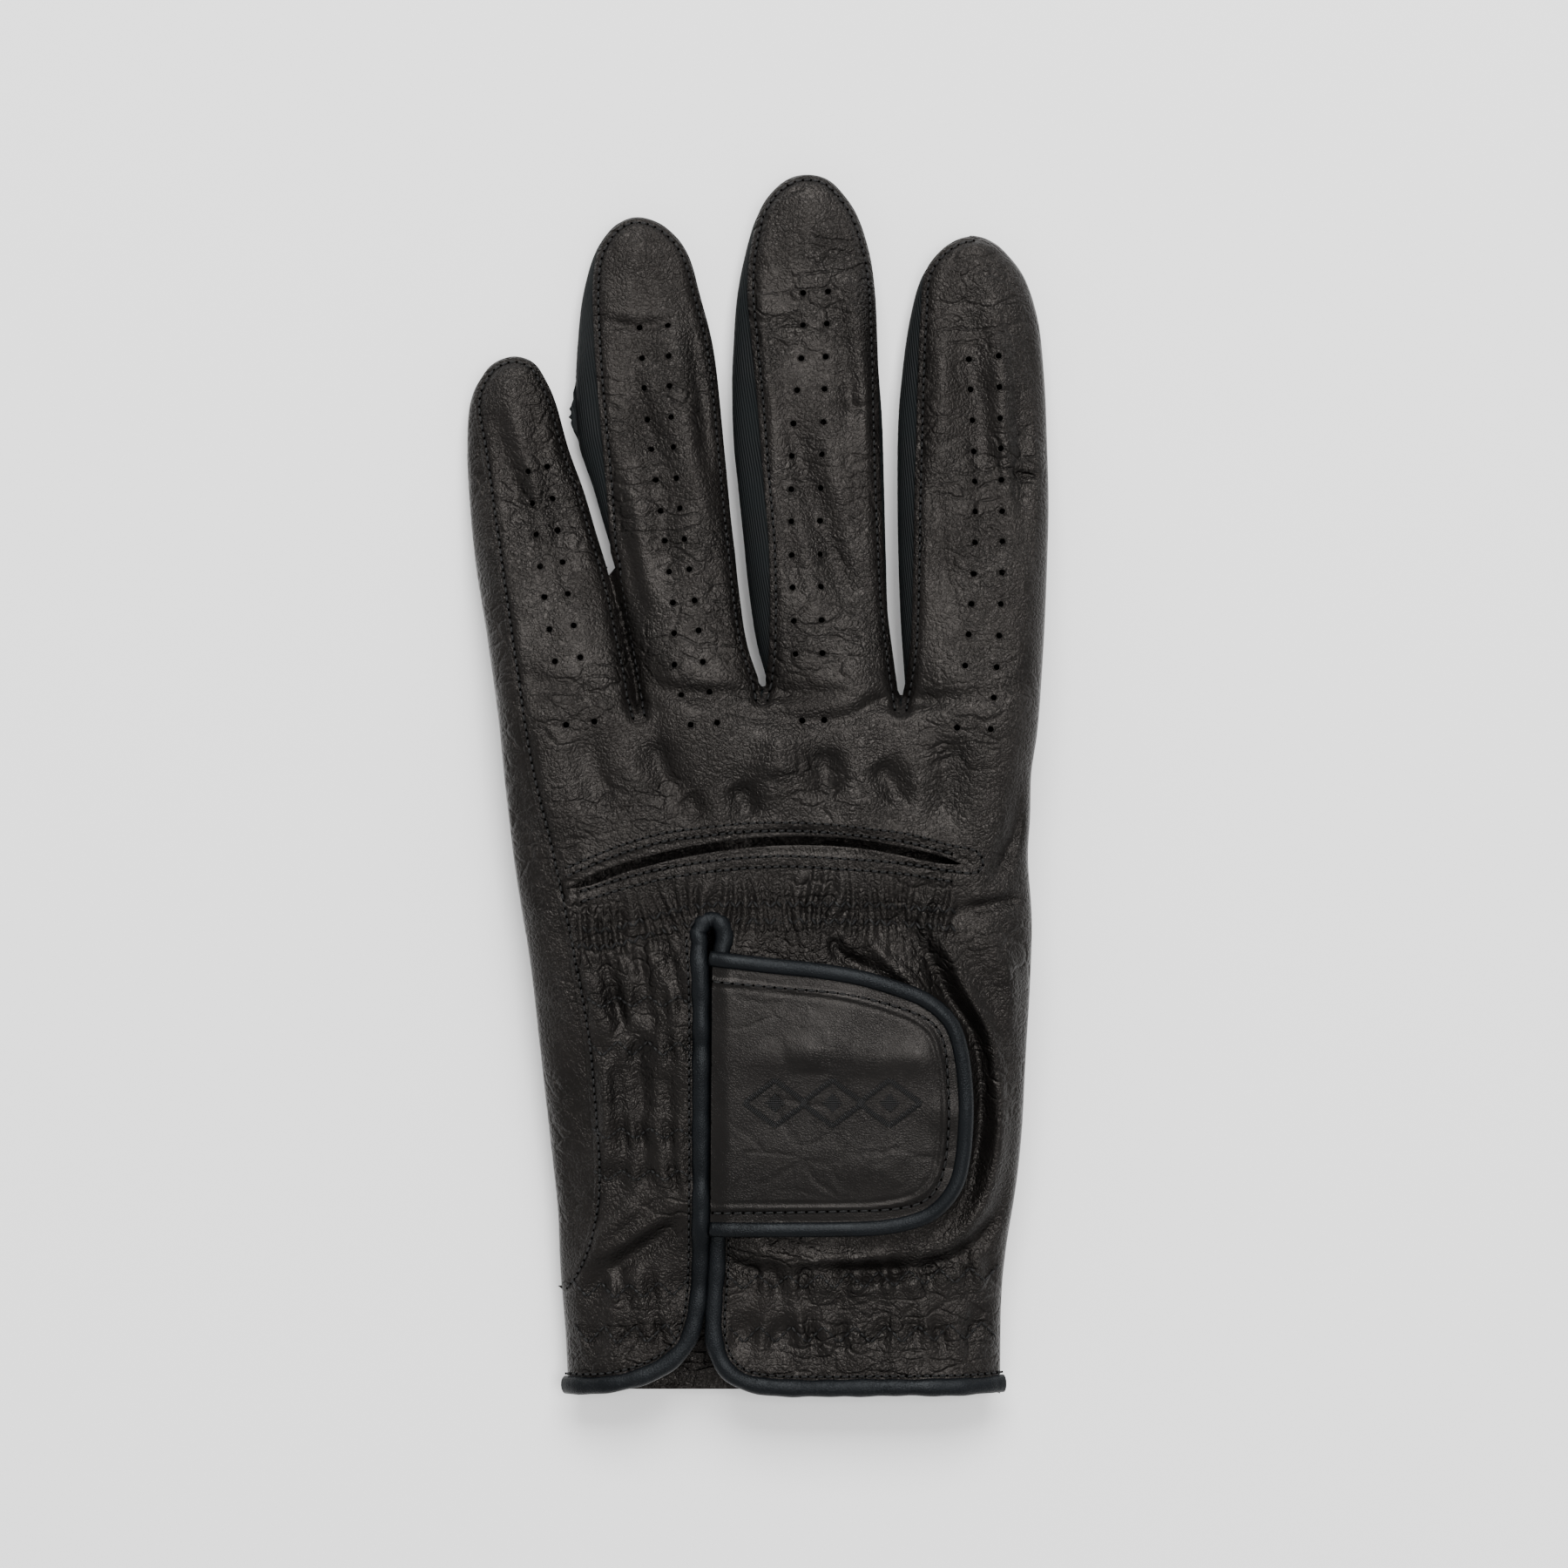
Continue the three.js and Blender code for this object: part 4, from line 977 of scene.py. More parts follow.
def facing(p, top=True):
    """Upward (or downward) unit normals of the outer skin."""
    step = 0.06
    dx = (outer_skin(p + (step, 0), top) - outer_skin(p - (step, 0), top)) / (2 * step)
    dy = (outer_skin(p + (0, step), top) - outer_skin(p - (0, step), top)) / (2 * step)
    normal = np.column_stack([-dx, -dy, np.ones(len(p))])
    normal /= np.linalg.norm(normal, axis=1)[:, None]
    return normal if top else -normal


def lay(line, lift=0.0, top=True):
    """A line in plan laid on the outer skin, or lifted off it."""
    line = np.asarray(line, float)[:, :2]
    return np.column_stack([line, outer_skin(line, top)]) + facing(line, top) * lift


bound = lay(even(OPENING, 0.9), -0.25)
bound_wave = 0.12 * np.sin(np.arange(len(bound)) * 0.9) + 0.1 * np.sin(np.arange(len(bound)) * 0.37 + 1)
bound[:, 2] += bound_wave * 0.6
tube("bound_edge", bound, 1.65 + bound_wave * 0.5, 1.25, sides=16)
piping = beside(TAB_PIPING, 0.0)
piping = np.column_stack([piping, tab_height(piping) - 0.35])
tube("tab_piping", even(piping, 0.7), PIPE, 1.15, sides=16)


# ---- Geometry node trees for what repeats.
def tree_with(name, numbers):
    tree = bpy.data.node_groups.new(name, "GeometryNodeTree")
    tree.interface.new_socket("Geometry", in_out="INPUT", socket_type="NodeSocketGeometry")
    for label, (kind, value) in numbers.items():
        socket = tree.interface.new_socket(label, in_out="INPUT", socket_type=f"NodeSocket{kind}")
        if value is not None:
            socket.default_value = value
    tree.interface.new_socket("Geometry", in_out="OUTPUT", socket_type="NodeSocketGeometry")
    return tree


def add(tree, kind, settings=(), **inputs):
    """A node with its settings, and its inputs set or linked by name or by place (_0, _1)."""
    node = tree.nodes.new(kind)
    for key, value in dict(settings).items():
        setattr(node, key, value)
    for key, value in inputs.items():
        socket = node.inputs[int(key[1:]) if key.startswith("_") else key.strip("_").replace("_", " ")]
        if isinstance(value, bpy.types.NodeSocket):
            tree.links.new(value, socket)
        else:
            socket.default_value = value
    return node


def sewn_rows_tree():
    """Turns lines into rows of stitches: each is a rounded length of thread along its stretch of the line."""
    tree = tree_with("sewn_rows", {
        "Pitch": ("Float", 1.5 * MM), "Thread": ("Float", 0.5 * MM), "Fill": ("Float", 0.85),
        "Keep Corners": ("Bool", False), "Material": ("Material", None),
    })
    given = tree.nodes.new("NodeGroupInput")
    rows = add(tree, "GeometryNodeMeshToCurve", Mesh=given.outputs["Geometry"])
    spaced = add(tree, "GeometryNodeResampleCurve", {"mode": "LENGTH"}, Curve=rows.outputs[0],
        Length=given.outputs["Pitch"])
    chosen = add(
        tree, "GeometryNodeSwitch", {"input_type": "GEOMETRY"}, Switch=given.outputs["Keep Corners"],
        False_=spaced.outputs[0], True_=rows.outputs[0],
    )
    edges = add(tree, "GeometryNodeCurveToMesh", Curve=chosen.outputs[0])
    ends = tree.nodes.new("GeometryNodeInputMeshEdgeVertices")
    way = add(tree, "ShaderNodeVectorMath", {"operation": "SUBTRACT"}, _0=ends.outputs["Position 2"],
        _1=ends.outputs["Position 1"])
    kept = tree.nodes.new("GeometryNodeCaptureAttribute")
    kept.domain = "EDGE"
    kept.capture_items.new("VECTOR", "Way")
    tree.links.new(edges.outputs[0], kept.inputs["Geometry"])
    tree.links.new(way.outputs[0], kept.inputs["Way"])
    places = add(tree, "GeometryNodeMeshToPoints", {"mode": "EDGES"}, Mesh=kept.outputs["Geometry"])
    turn = add(tree, "FunctionNodeAlignRotationToVector", {"axis": "Z"}, Vector=kept.outputs["Way"])
    long = add(tree, "ShaderNodeVectorMath", {"operation": "LENGTH"}, _0=kept.outputs["Way"])
    filled = add(tree, "ShaderNodeMath", {"operation": "MULTIPLY"}, _0=long.outputs["Value"],
        _1=given.outputs["Fill"])
    size = add(tree, "ShaderNodeCombineXYZ", X=given.outputs["Thread"], Y=given.outputs["Thread"],
        Z=filled.outputs[0])
    stitch = add(tree, "GeometryNodeMeshUVSphere", Segments=8, Rings=6, Radius=0.5)
    smooth = add(tree, "GeometryNodeSetShadeSmooth", Geometry=stitch.outputs["Mesh"], Shade_Smooth=True)
    placed = add(
        tree, "GeometryNodeInstanceOnPoints", Points=places.outputs[0], Instance=smooth.outputs[0],
        Rotation=turn.outputs[0], Scale=size.outputs[0],
    )
    real = add(tree, "GeometryNodeRealizeInstances", Geometry=placed.outputs[0])
    painted = add(tree, "GeometryNodeSetMaterial", Geometry=real.outputs[0],
        Material=given.outputs["Material"])
    out = tree.nodes.new("NodeGroupOutput")
    tree.links.new(painted.outputs[0], out.inputs[0])
    return tree


def hole_shade_dots_tree():
    """Turns lines into dark dots of painted shade for the needle holes between stitches, one at each end of a
    stitch.
    """
    tree = tree_with("needle_holes", {
        "Pitch": ("Float", 1.5 * MM), "Radius": ("Float", 0.24 * MM), "Material": ("Material", None),
    })
    given = tree.nodes.new("NodeGroupInput")
    rows = add(tree, "GeometryNodeMeshToCurve", Mesh=given.outputs["Geometry"])
    spaced = add(tree, "GeometryNodeResampleCurve", {"mode": "LENGTH"}, Curve=rows.outputs[0],
        Length=given.outputs["Pitch"])
    hole = add(tree, "GeometryNodeMeshUVSphere", Segments=7, Rings=4, Radius=given.outputs["Radius"])
    smooth = add(tree, "GeometryNodeSetShadeSmooth", Geometry=hole.outputs["Mesh"], Shade_Smooth=True)
    placed = add(tree, "GeometryNodeInstanceOnPoints", Points=spaced.outputs[0], Instance=smooth.outputs[0])
    real = add(tree, "GeometryNodeRealizeInstances", Geometry=placed.outputs[0])
    painted = add(tree, "GeometryNodeSetMaterial", Geometry=real.outputs[0],
        Material=given.outputs["Material"])
    out = tree.nodes.new("NodeGroupOutput")
    tree.links.new(painted.outputs[0], out.inputs[0])
    return tree


def punched_rims_tree():
    """Puts a pressed ring round each point, turned to the direction stored with it."""
    tree = tree_with("punched_rims", {
        "Radius": ("Float", HOLE * MM), "Rim": ("Float", 0.16 * MM), "Material": ("Material", None),
    })
    given = tree.nodes.new("NodeGroupInput")
    places = add(tree, "GeometryNodeMeshToPoints", {"mode": "VERTICES"}, Mesh=given.outputs["Geometry"])
    stored = add(tree, "GeometryNodeInputNamedAttribute", {"data_type": "FLOAT_VECTOR"}, Name="facing")
    turn = add(tree, "FunctionNodeAlignRotationToVector", {"axis": "Z"}, Vector=stored.outputs[0])
    ring = add(tree, "GeometryNodeCurvePrimitiveCircle", Resolution=12, Radius=given.outputs["Radius"])
    section = add(tree, "GeometryNodeCurvePrimitiveCircle", Resolution=5, Radius=given.outputs["Rim"])
    rim = add(tree, "GeometryNodeCurveToMesh", Curve=ring.outputs[0], Profile_Curve=section.outputs[0])
    placed = add(
        tree, "GeometryNodeInstanceOnPoints", Points=places.outputs[0], Instance=rim.outputs[0],
            Rotation=turn.outputs[0]
    )
    real = add(tree, "GeometryNodeRealizeInstances", Geometry=placed.outputs[0])
    painted = add(tree, "GeometryNodeSetMaterial", Geometry=real.outputs[0],
        Material=given.outputs["Material"])
    out = tree.nodes.new("NodeGroupOutput")
    tree.links.new(painted.outputs[0], out.inputs[0])
    return tree


def made_by(tree, lines, values, attribute=None):
    """Runs a tree over lines (or single points) and returns the mesh it makes."""
    points = np.vstack(lines) * MM
    edges, start = [], 0
    for line in lines:
        edges += [(start + i, start + i + 1) for i in range(len(line) - 1)]
        start += len(line)
    mesh = bpy.data.meshes.new("rows")
    mesh.from_pydata(points.tolist(), edges, [])
    if attribute is not None:
        mesh.attributes.new("facing", "FLOAT_VECTOR", "POINT").data.foreach_set("vector",
            attribute.astype(np.float32).ravel())
    carrier = bpy.data.objects.new("rows", mesh)
    bpy.context.scene.collection.objects.link(carrier)
    modifier = carrier.modifiers.new("rows", "NODES")
    modifier.node_group = tree
    for item in tree.interface.items_tree:
        if item.in_out == "INPUT" and item.name in values:
            modifier[item.identifier] = values[item.name]
    graph = bpy.context.evaluated_depsgraph_get()
    made = bpy.data.meshes.new_from_object(carrier.evaluated_get(graph))
    bpy.data.objects.remove(carrier)
    return made


def join_meshes(name, meshes):
    """One piece from meshes that share a material."""
    points, faces, start = [], [], 0
    for mesh in meshes:
        co = np.empty(len(mesh.vertices) * 3, np.float32)
        mesh.vertices.foreach_get("co", co)
        points.append(co.reshape(-1, 3))
        mesh.calc_loop_triangles()
        tri = np.empty(len(mesh.loop_triangles) * 3, np.int32)
        mesh.loop_triangles.foreach_get("vertices", tri)
        faces.append(tri.reshape(-1, 3) + start)
        start += len(mesh.vertices)
    pieces[name] = make_mesh(name, np.vstack(points) / MM, np.vstack(faces))
    return pieces[name]


# ---- Stitch lines.
def zigzag(upper, lower, pitch, legs=3):
    """A line that swings between two rows, each swing made of a few stitches."""
    a, b = even(curve(upper), 0.05), even(curve(lower), 0.05)
    run = np.linalg.norm(np.diff(a, axis=0), axis=1).sum()
    count = max(int(round(run / pitch * 2)), 2)
    corners = [
        (a, b)[i % 2][int(round(i / count * (len((a, b)[i % 2]) - 1)))] for i in range(count + 1)
    ]
    return np.vstack([np.linspace(p, q, legs, endpoint=False) for p,
        q in zip(corners, corners[1:])] + [[corners[-1]]])


SEAM = 1.05  # how far a row of stitches lies inside the raw edge


def row_inside(edge, width):
    """A row of stitches to the right of an edge, kept inside the glove and clear of itself."""
    row = beside(edge, width)
    clear = (distance(row, edge)[0] > abs(width) * 0.85) & inside(row,
        WHOLE) & (distance(row, WHOLE)[0] > 0.5)
    return row[clear]


hand_rows, finger_rows = [], {name: [] for name in FINGERS}
for name in FINGERS:
    row = row_inside(PANEL[name], SEAM)
    finger_rows[name].append(lay(over(row, SPLIT[name]), -0.14))
    for stretch in (up_to, down_from) if name != "index" else (up_to,):
        hand_rows.append(lay(stretch(row, SPLIT[name]), -0.14))
    under = row_inside(palm_edges[name], 1.1)
    finger_rows[name].append(lay(over(under, SPLIT[name]), 0.02, top=False))
VENT_ROW = [
    (-34.4, -15.5), (-29.4, -13.3), (-23.4, -11), (-16.5, -9.1), (-9.6, -8.2), (-2.1, -7.4), (5.6, -7.2),
        (13.1, -7.5),
    (20.6, -8.3), (28.3, -9.4), (35.8, -11.4), (40.5, -12.5), (41.6, -14.7), (40.5, -16.3), (35.8, -16),
        (26.7, -14.6),
    (16.2, -13.8), (4, -13.3), (-9.6, -14.4), (-16.5, -15.5), (-24.2, -17.4), (-31.7, -19.7),
]
hand_rows.append(lay(curve(VENT_ROW), 0.05))
hand_rows.append(lay(curve([(x, y - 1.5) for x, y in VENT_ROW[:11]]), 0.05))
hand_rows.append(lay(curve([(x, y - 1.9) for x, y in VENT_ROW[14:]]), 0.05))
for line in (BINDING_LEFT, BINDING_RIGHT):
    row = beside(line, -2.1)
    row = row[distance(row, OPENING)[0] > 1.9]
    hand_rows.append(lay(row, 0.0))
hand_rows.append(lay(straight((-32, -108.4), (43, -108.4)), 0.03, top=False))

KNUCKLES = [
    (-33.6, -25.8), (-27, -26.1), (-20.3, -24.3), (-15, -22.7), (-9.6, -21.6), (5.6, -21.4), (22.2, -21.6),
        (36.6, -22.7),
]
zigzags = [
    zigzag(KNUCKLES, [(x, y - 1.3) for x, y in KNUCKLES], 2.1, 1),
    zigzag([(x, y - 3.1) for x, y in KNUCKLES], [(x, y - 4.4) for x, y in KNUCKLES], 2.1, 1),
    zigzag([(-30.7, -39), (-11.2, -38.6)], [(-30.7, -41), (-11.2, -40.6)], 5.3),
    zigzag([(-30.6, -47), (-11.2, -47)], [(-30.6, -49.8), (-11.2, -49.6)], 5.3),
    zigzag([(-29.8, -63), (-11.2, -63)], [(-29.8, -65), (-11.2, -65)], 5.3),
    zigzag([(-29.6, -70.9), (-11.2, -70.6)], [(-29.6, -72.8), (-11.2, -72.6)], 5.3),
    zigzag([(-33.6, -91.6), (-24, -92), (-12.4, -91.2)], [(-33.6, -94.4), (-24, -94.6), (-12.6, -94)], 5.4),
    zigzag([(-33.4, -99.8), (-24, -99.8), (-13.4, -99)], [(-33.4, -103.2), (-24, -103), (-14.6, -102.4)],
        5.4),
    zigzag([(-5, -90.4), (20, -90), (45, -88.8)], [(-5, -92.9), (20, -92.6), (45, -91.4)], 5.7),
    zigzag([(-5, -99.8), (20, -99.8), (44.6, -99.2)], [(-5, -102.8), (20, -102.8), (44.4, -102.2)], 6.0),
]
zigzags = [lay(line, 0.1) for line in zigzags]
label_row = even(np.array([(-3, -93), (9, -93), (9, -107), (-3, -107), (-3, -93)], float), 0.4)
hand_rows.append(lay(label_row, 0.02, top=False))

thumb_rows = []
for angle in (THUMB_SEAM + 0.09, math.pi - THUMB_SEAM - 0.09, -THUMB_SEAM - 0.09,
    -math.pi + THUMB_SEAM + 0.09):
    s = np.r_[np.arange(7, 54, 0.8), 54 + 16 * np.sin(np.linspace(0, 1.25, 24))]
    thumb_rows.append(thumb_section(s, np.full(len(s), angle), -0.05))

TAB_ROW = curve([
    (-7.8, -36), (4, -37.1), (15.4, -38.2), (23, -39.8), (29.1, -41.8), (32.4, -43.7), (34.3, -47),
        (35.1, -53.9),
    (35.3, -61.4), (34.7, -69.1), (33.4, -73.6), (30.9, -76.3), (26.7, -77.6), (15.4, -78.2), (-7.8, -78.6),
])
tab_rows = [np.column_stack([TAB_ROW, tab_height(TAB_ROW) + 0.08])]
hook_row = even(np.array([(11, -46), (28, -46), (28, -72), (11, -72), (11, -46)], float), 0.5)
tab_rows.append(np.column_stack([hook_row, tab_height(hook_row) - LEATHER - 1.34]))


def diamond_stitches(x, y, half_width, half_height, border, pitch):
    """The satin border of a diamond, each stitch square to its edge."""
    corners = np.array([(x - half_width, y), (x, y + half_height), (x + half_width, y), (x, y - half_height)])
    made = []
    for a, b in zip(corners, np.roll(corners, -1, axis=0)):
        way = (b - a) / np.linalg.norm(b - a)
        square = np.array([-way[1], way[0]]) * border / 2
        for t in np.arange(0.2, np.linalg.norm(b - a), pitch):
            made.append(np.array([a + way * t - square, a + way * t + square]))
    return made


embroidery = []
for k in range(3):
    centre = MARK[0] + (k - 1) * 10.4
    embroidery += diamond_stitches(centre, MARK[1], 5.6, 4.2, 1.15, 0.34)
    for y in np.arange(-1.6, 1.7, 0.34):
        reach = 2.1 * (1 - abs(y) / 1.75)
        embroidery.append(np.array([(centre - reach, MARK[1] + y), (centre + reach, MARK[1] + y)]))
embroidery = [np.column_stack([line, tab_height(line) + 0.12]) for line in embroidery]
rims = {body: np.array([h[:2] for h in holes_in(body)]) for body in ("hand", *FINGERS)}


# ---- Shared shader groups.
def shader_tree(name, inputs, outputs):
    tree = bpy.data.node_groups.new(name, "ShaderNodeTree")
    for label, (kind, value) in inputs.items():
        socket = tree.interface.new_socket(label, in_out="INPUT", socket_type=f"NodeSocket{kind}")
        if value is not None:
            socket.default_value = value
    for label, kind in outputs.items():
        tree.interface.new_socket(label, in_out="OUTPUT", socket_type=f"NodeSocket{kind}")
    return tree, tree.nodes.new("NodeGroupInput"), tree.nodes.new("NodeGroupOutput")


def grain_group():
    """Pebbled leather grain: domed cells between creases, of two sizes and of uneven strength."""
    tree, given, out = shader_tree(
        "leather_grain",
        {"Vector": ("Vector", None), "Scale": ("Float", 1050.0), "Fineness": ("Float", 0.35),
            "Evenness": ("Float", 0.5)},
        {"Height": "Float", "Crease": "Float"},
    )
    vector, scale = given.outputs["Vector"], given.outputs["Scale"]
    drift = add(tree, "ShaderNodeTexNoise", Vector=vector, Scale=420.0, Detail=2.0)
    centred = add(tree, "ShaderNodeVectorMath", {"operation": "SUBTRACT"}, _0=drift.outputs["Color"],
        _1=(0.5, 0.5, 0.5))
    small = add(tree, "ShaderNodeVectorMath", {"operation": "SCALE"}, _0=centred.outputs[0], Scale=0.0009)
    warped = add(tree, "ShaderNodeVectorMath", {"operation": "ADD"}, _0=vector, _1=small.outputs[0])
    cells = []
    for factor in (1.0, 2.1):
        size = add(tree, "ShaderNodeMath", {"operation": "MULTIPLY"}, _0=scale, _1=factor)
        cell = add(
            tree, "ShaderNodeTexVoronoi", {"feature": "DISTANCE_TO_EDGE"}, Vector=warped.outputs[0],
                Scale=size.outputs[0]
        )
        domed = add(
            tree, "ShaderNodeMapRange", {"interpolation_type": "SMOOTHSTEP"}, Value=cell.outputs["Distance"],
            From_Min=0.0, From_Max=0.28,
        )
        cells.append(domed.outputs["Result"])
    mixed = add(tree, "ShaderNodeMix", Factor=given.outputs["Fineness"], A=cells[0], B=cells[1])
    patches = add(tree, "ShaderNodeTexNoise", Vector=vector, Scale=85.0, Detail=2.0)
    strength = add(
        tree, "ShaderNodeMapRange", Value=patches.outputs["Fac"], From_Min=0.35, From_Max=0.65,
        To_Min=given.outputs["Evenness"], To_Max=1.0,
    )
    height = add(tree, "ShaderNodeMath", {"operation": "MULTIPLY"}, _0=mixed.outputs[0],
        _1=strength.outputs["Result"])
    crease = add(tree, "ShaderNodeMath", {"operation": "SUBTRACT"}, _0=1.0, _1=cells[0])
    tree.links.new(height.outputs[0], out.inputs["Height"])
    tree.links.new(crease.outputs[0], out.inputs["Crease"])
    return tree


def creases_group():
    """Fine creases that run mostly across the hand, in some places only."""
    tree, given, out = shader_tree(
        "fine_creases", {"Vector": ("Vector", None), "Scale": ("Float", 330.0), "Stretch": ("Float", 0.4)},
            {"Height": "Float"}
    )
    stretch = add(tree, "ShaderNodeCombineXYZ", X=given.outputs["Stretch"], Y=1.0, Z=1.0)
    drift = add(tree, "ShaderNodeTexNoise", Vector=given.outputs["Vector"], Scale=110.0, Detail=3.0)
    centred = add(tree, "ShaderNodeVectorMath", {"operation": "SUBTRACT"}, _0=drift.outputs["Color"],
        _1=(0.5, 0.5, 0.5))
    small = add(tree, "ShaderNodeVectorMath", {"operation": "SCALE"}, _0=centred.outputs[0], Scale=0.006)
    warped = add(tree, "ShaderNodeVectorMath", {"operation": "ADD"}, _0=given.outputs["Vector"],
        _1=small.outputs[0])
    drawn = add(tree, "ShaderNodeVectorMath", {"operation": "MULTIPLY"}, _0=warped.outputs[0],
        _1=stretch.outputs[0])
    cell = add(
        tree, "ShaderNodeTexVoronoi", {"feature": "DISTANCE_TO_EDGE"}, Vector=drawn.outputs[0],
            Scale=given.outputs["Scale"]
    )
    line = add(
        tree, "ShaderNodeMapRange", {"interpolation_type": "SMOOTHSTEP"}, Value=cell.outputs["Distance"],
        From_Min=0.0, From_Max=0.16, To_Min=-1.0, To_Max=0.0,
    )
    patches = add(tree, "ShaderNodeTexNoise", Vector=given.outputs["Vector"], Scale=55.0, Detail=1.0)
    where = add(
        tree, "ShaderNodeMapRange", {"interpolation_type": "SMOOTHSTEP"}, Value=patches.outputs["Fac"],
        From_Min=0.42, From_Max=0.6,
    )
    height = add(tree, "ShaderNodeMath", {"operation": "MULTIPLY"}, _0=line.outputs["Result"],
        _1=where.outputs["Result"])
    tree.links.new(height.outputs[0], out.inputs["Height"])
    return tree


def rub_group():
    """Where a surface is a little rubbed, dusty or darker: slow blotches with finer ones on top."""
    tree, given, out = shader_tree(
        "handling", {"Vector": ("Vector", None), "Scale": ("Float", 70.0), "Contrast": ("Float", 0.2)},
            {"Rub": "Float"}
    )
    broad = add(tree, "ShaderNodeTexNoise", Vector=given.outputs["Vector"], Scale=given.outputs["Scale"],
        Detail=5.0, Roughness=0.6)
    low = add(tree, "ShaderNodeMath", {"operation": "SUBTRACT"}, _0=0.5, _1=given.outputs["Contrast"])
    high = add(tree, "ShaderNodeMath", {"operation": "ADD"}, _0=0.5, _1=given.outputs["Contrast"])
    spread = add(
        tree, "ShaderNodeMapRange", {"interpolation_type": "SMOOTHSTEP"}, Value=broad.outputs["Fac"],
        From_Min=low.outputs[0], From_Max=high.outputs[0],
    )
    tree.links.new(spread.outputs["Result"], out.inputs["Rub"])
    return tree


def ribs_group():
    """Fine ribs of cloth or twisted thread along a slanted direction, slightly uneven."""
    tree, given, out = shader_tree(
        "fine_ribs", {"Vector": ("Vector", None), "Ribs per Metre": ("Float", 1900.0),
            "Unevenness": ("Float", 0.6)},
        {"Height": "Float"},
    )
    wave = add(
        tree, "ShaderNodeTexWave", {"wave_type": "BANDS", "bands_direction": "DIAGONAL"},
            Vector=given.outputs["Vector"],
        Distortion=given.outputs["Unevenness"], Detail=1.0, Detail_Scale=2.0,
    )
    size = add(tree, "ShaderNodeMath", {"operation": "MULTIPLY"}, _0=given.outputs["Ribs per Metre"],
        _1=0.363)
    tree.links.new(size.outputs[0], wave.inputs["Scale"])
    tree.links.new(wave.outputs["Fac"], out.inputs["Height"])
    return tree


GRAIN, CREASES, HANDLING, RIBS = grain_group(), creases_group(), rub_group(), ribs_group()


def surface(name, dark, light, roughness, bumps, specular=0.5, tint=(1, 1, 1), turn=(0, 0, 0)):
    """A material from two tones, a roughness range and reliefs: (group, its settings, depth in mm)."""
    material = bpy.data.materials.new(name)
    material.use_nodes = True
    tree = material.node_tree
    shader = tree.nodes["Principled BSDF"]
    place = tree.nodes.new("ShaderNodeTexCoord").outputs["Object"]
    turned = add(tree, "ShaderNodeMapping", Vector=place, Rotation=turn).outputs[0]
    rub = add(tree, "ShaderNodeGroup", {"node_tree": HANDLING}, Vector=place)
    tone, normal = rub.outputs["Rub"], None
    for group, settings, depth in bumps:
        relief = add(tree, "ShaderNodeGroup", {"node_tree": group}, Vector=turned, **settings)
        bump = add(tree, "ShaderNodeBump", Strength=1.0, Distance=depth * MM, Height=relief.outputs["Height"])
        if normal:
            tree.links.new(normal, bump.inputs["Normal"])
        normal = bump.outputs["Normal"]
    colour = add(tree, "ShaderNodeMix", {"data_type": "RGBA"}, Factor=tone)
    colour.inputs[6].default_value, colour.inputs[7].default_value = (*dark, 1), (*light, 1)
    tree.links.new(colour.outputs[2], shader.inputs["Base Color"])
    rough = add(tree, "ShaderNodeMapRange", Value=tone, To_Min=roughness[0], To_Max=roughness[1])
    tree.links.new(rough.outputs["Result"], shader.inputs["Roughness"])
    tree.links.new(normal, shader.inputs["Normal"])
    shader.inputs["Specular IOR Level"].default_value = specular
    shader.inputs["Specular Tint"].default_value = (*tint, 1)
    return material


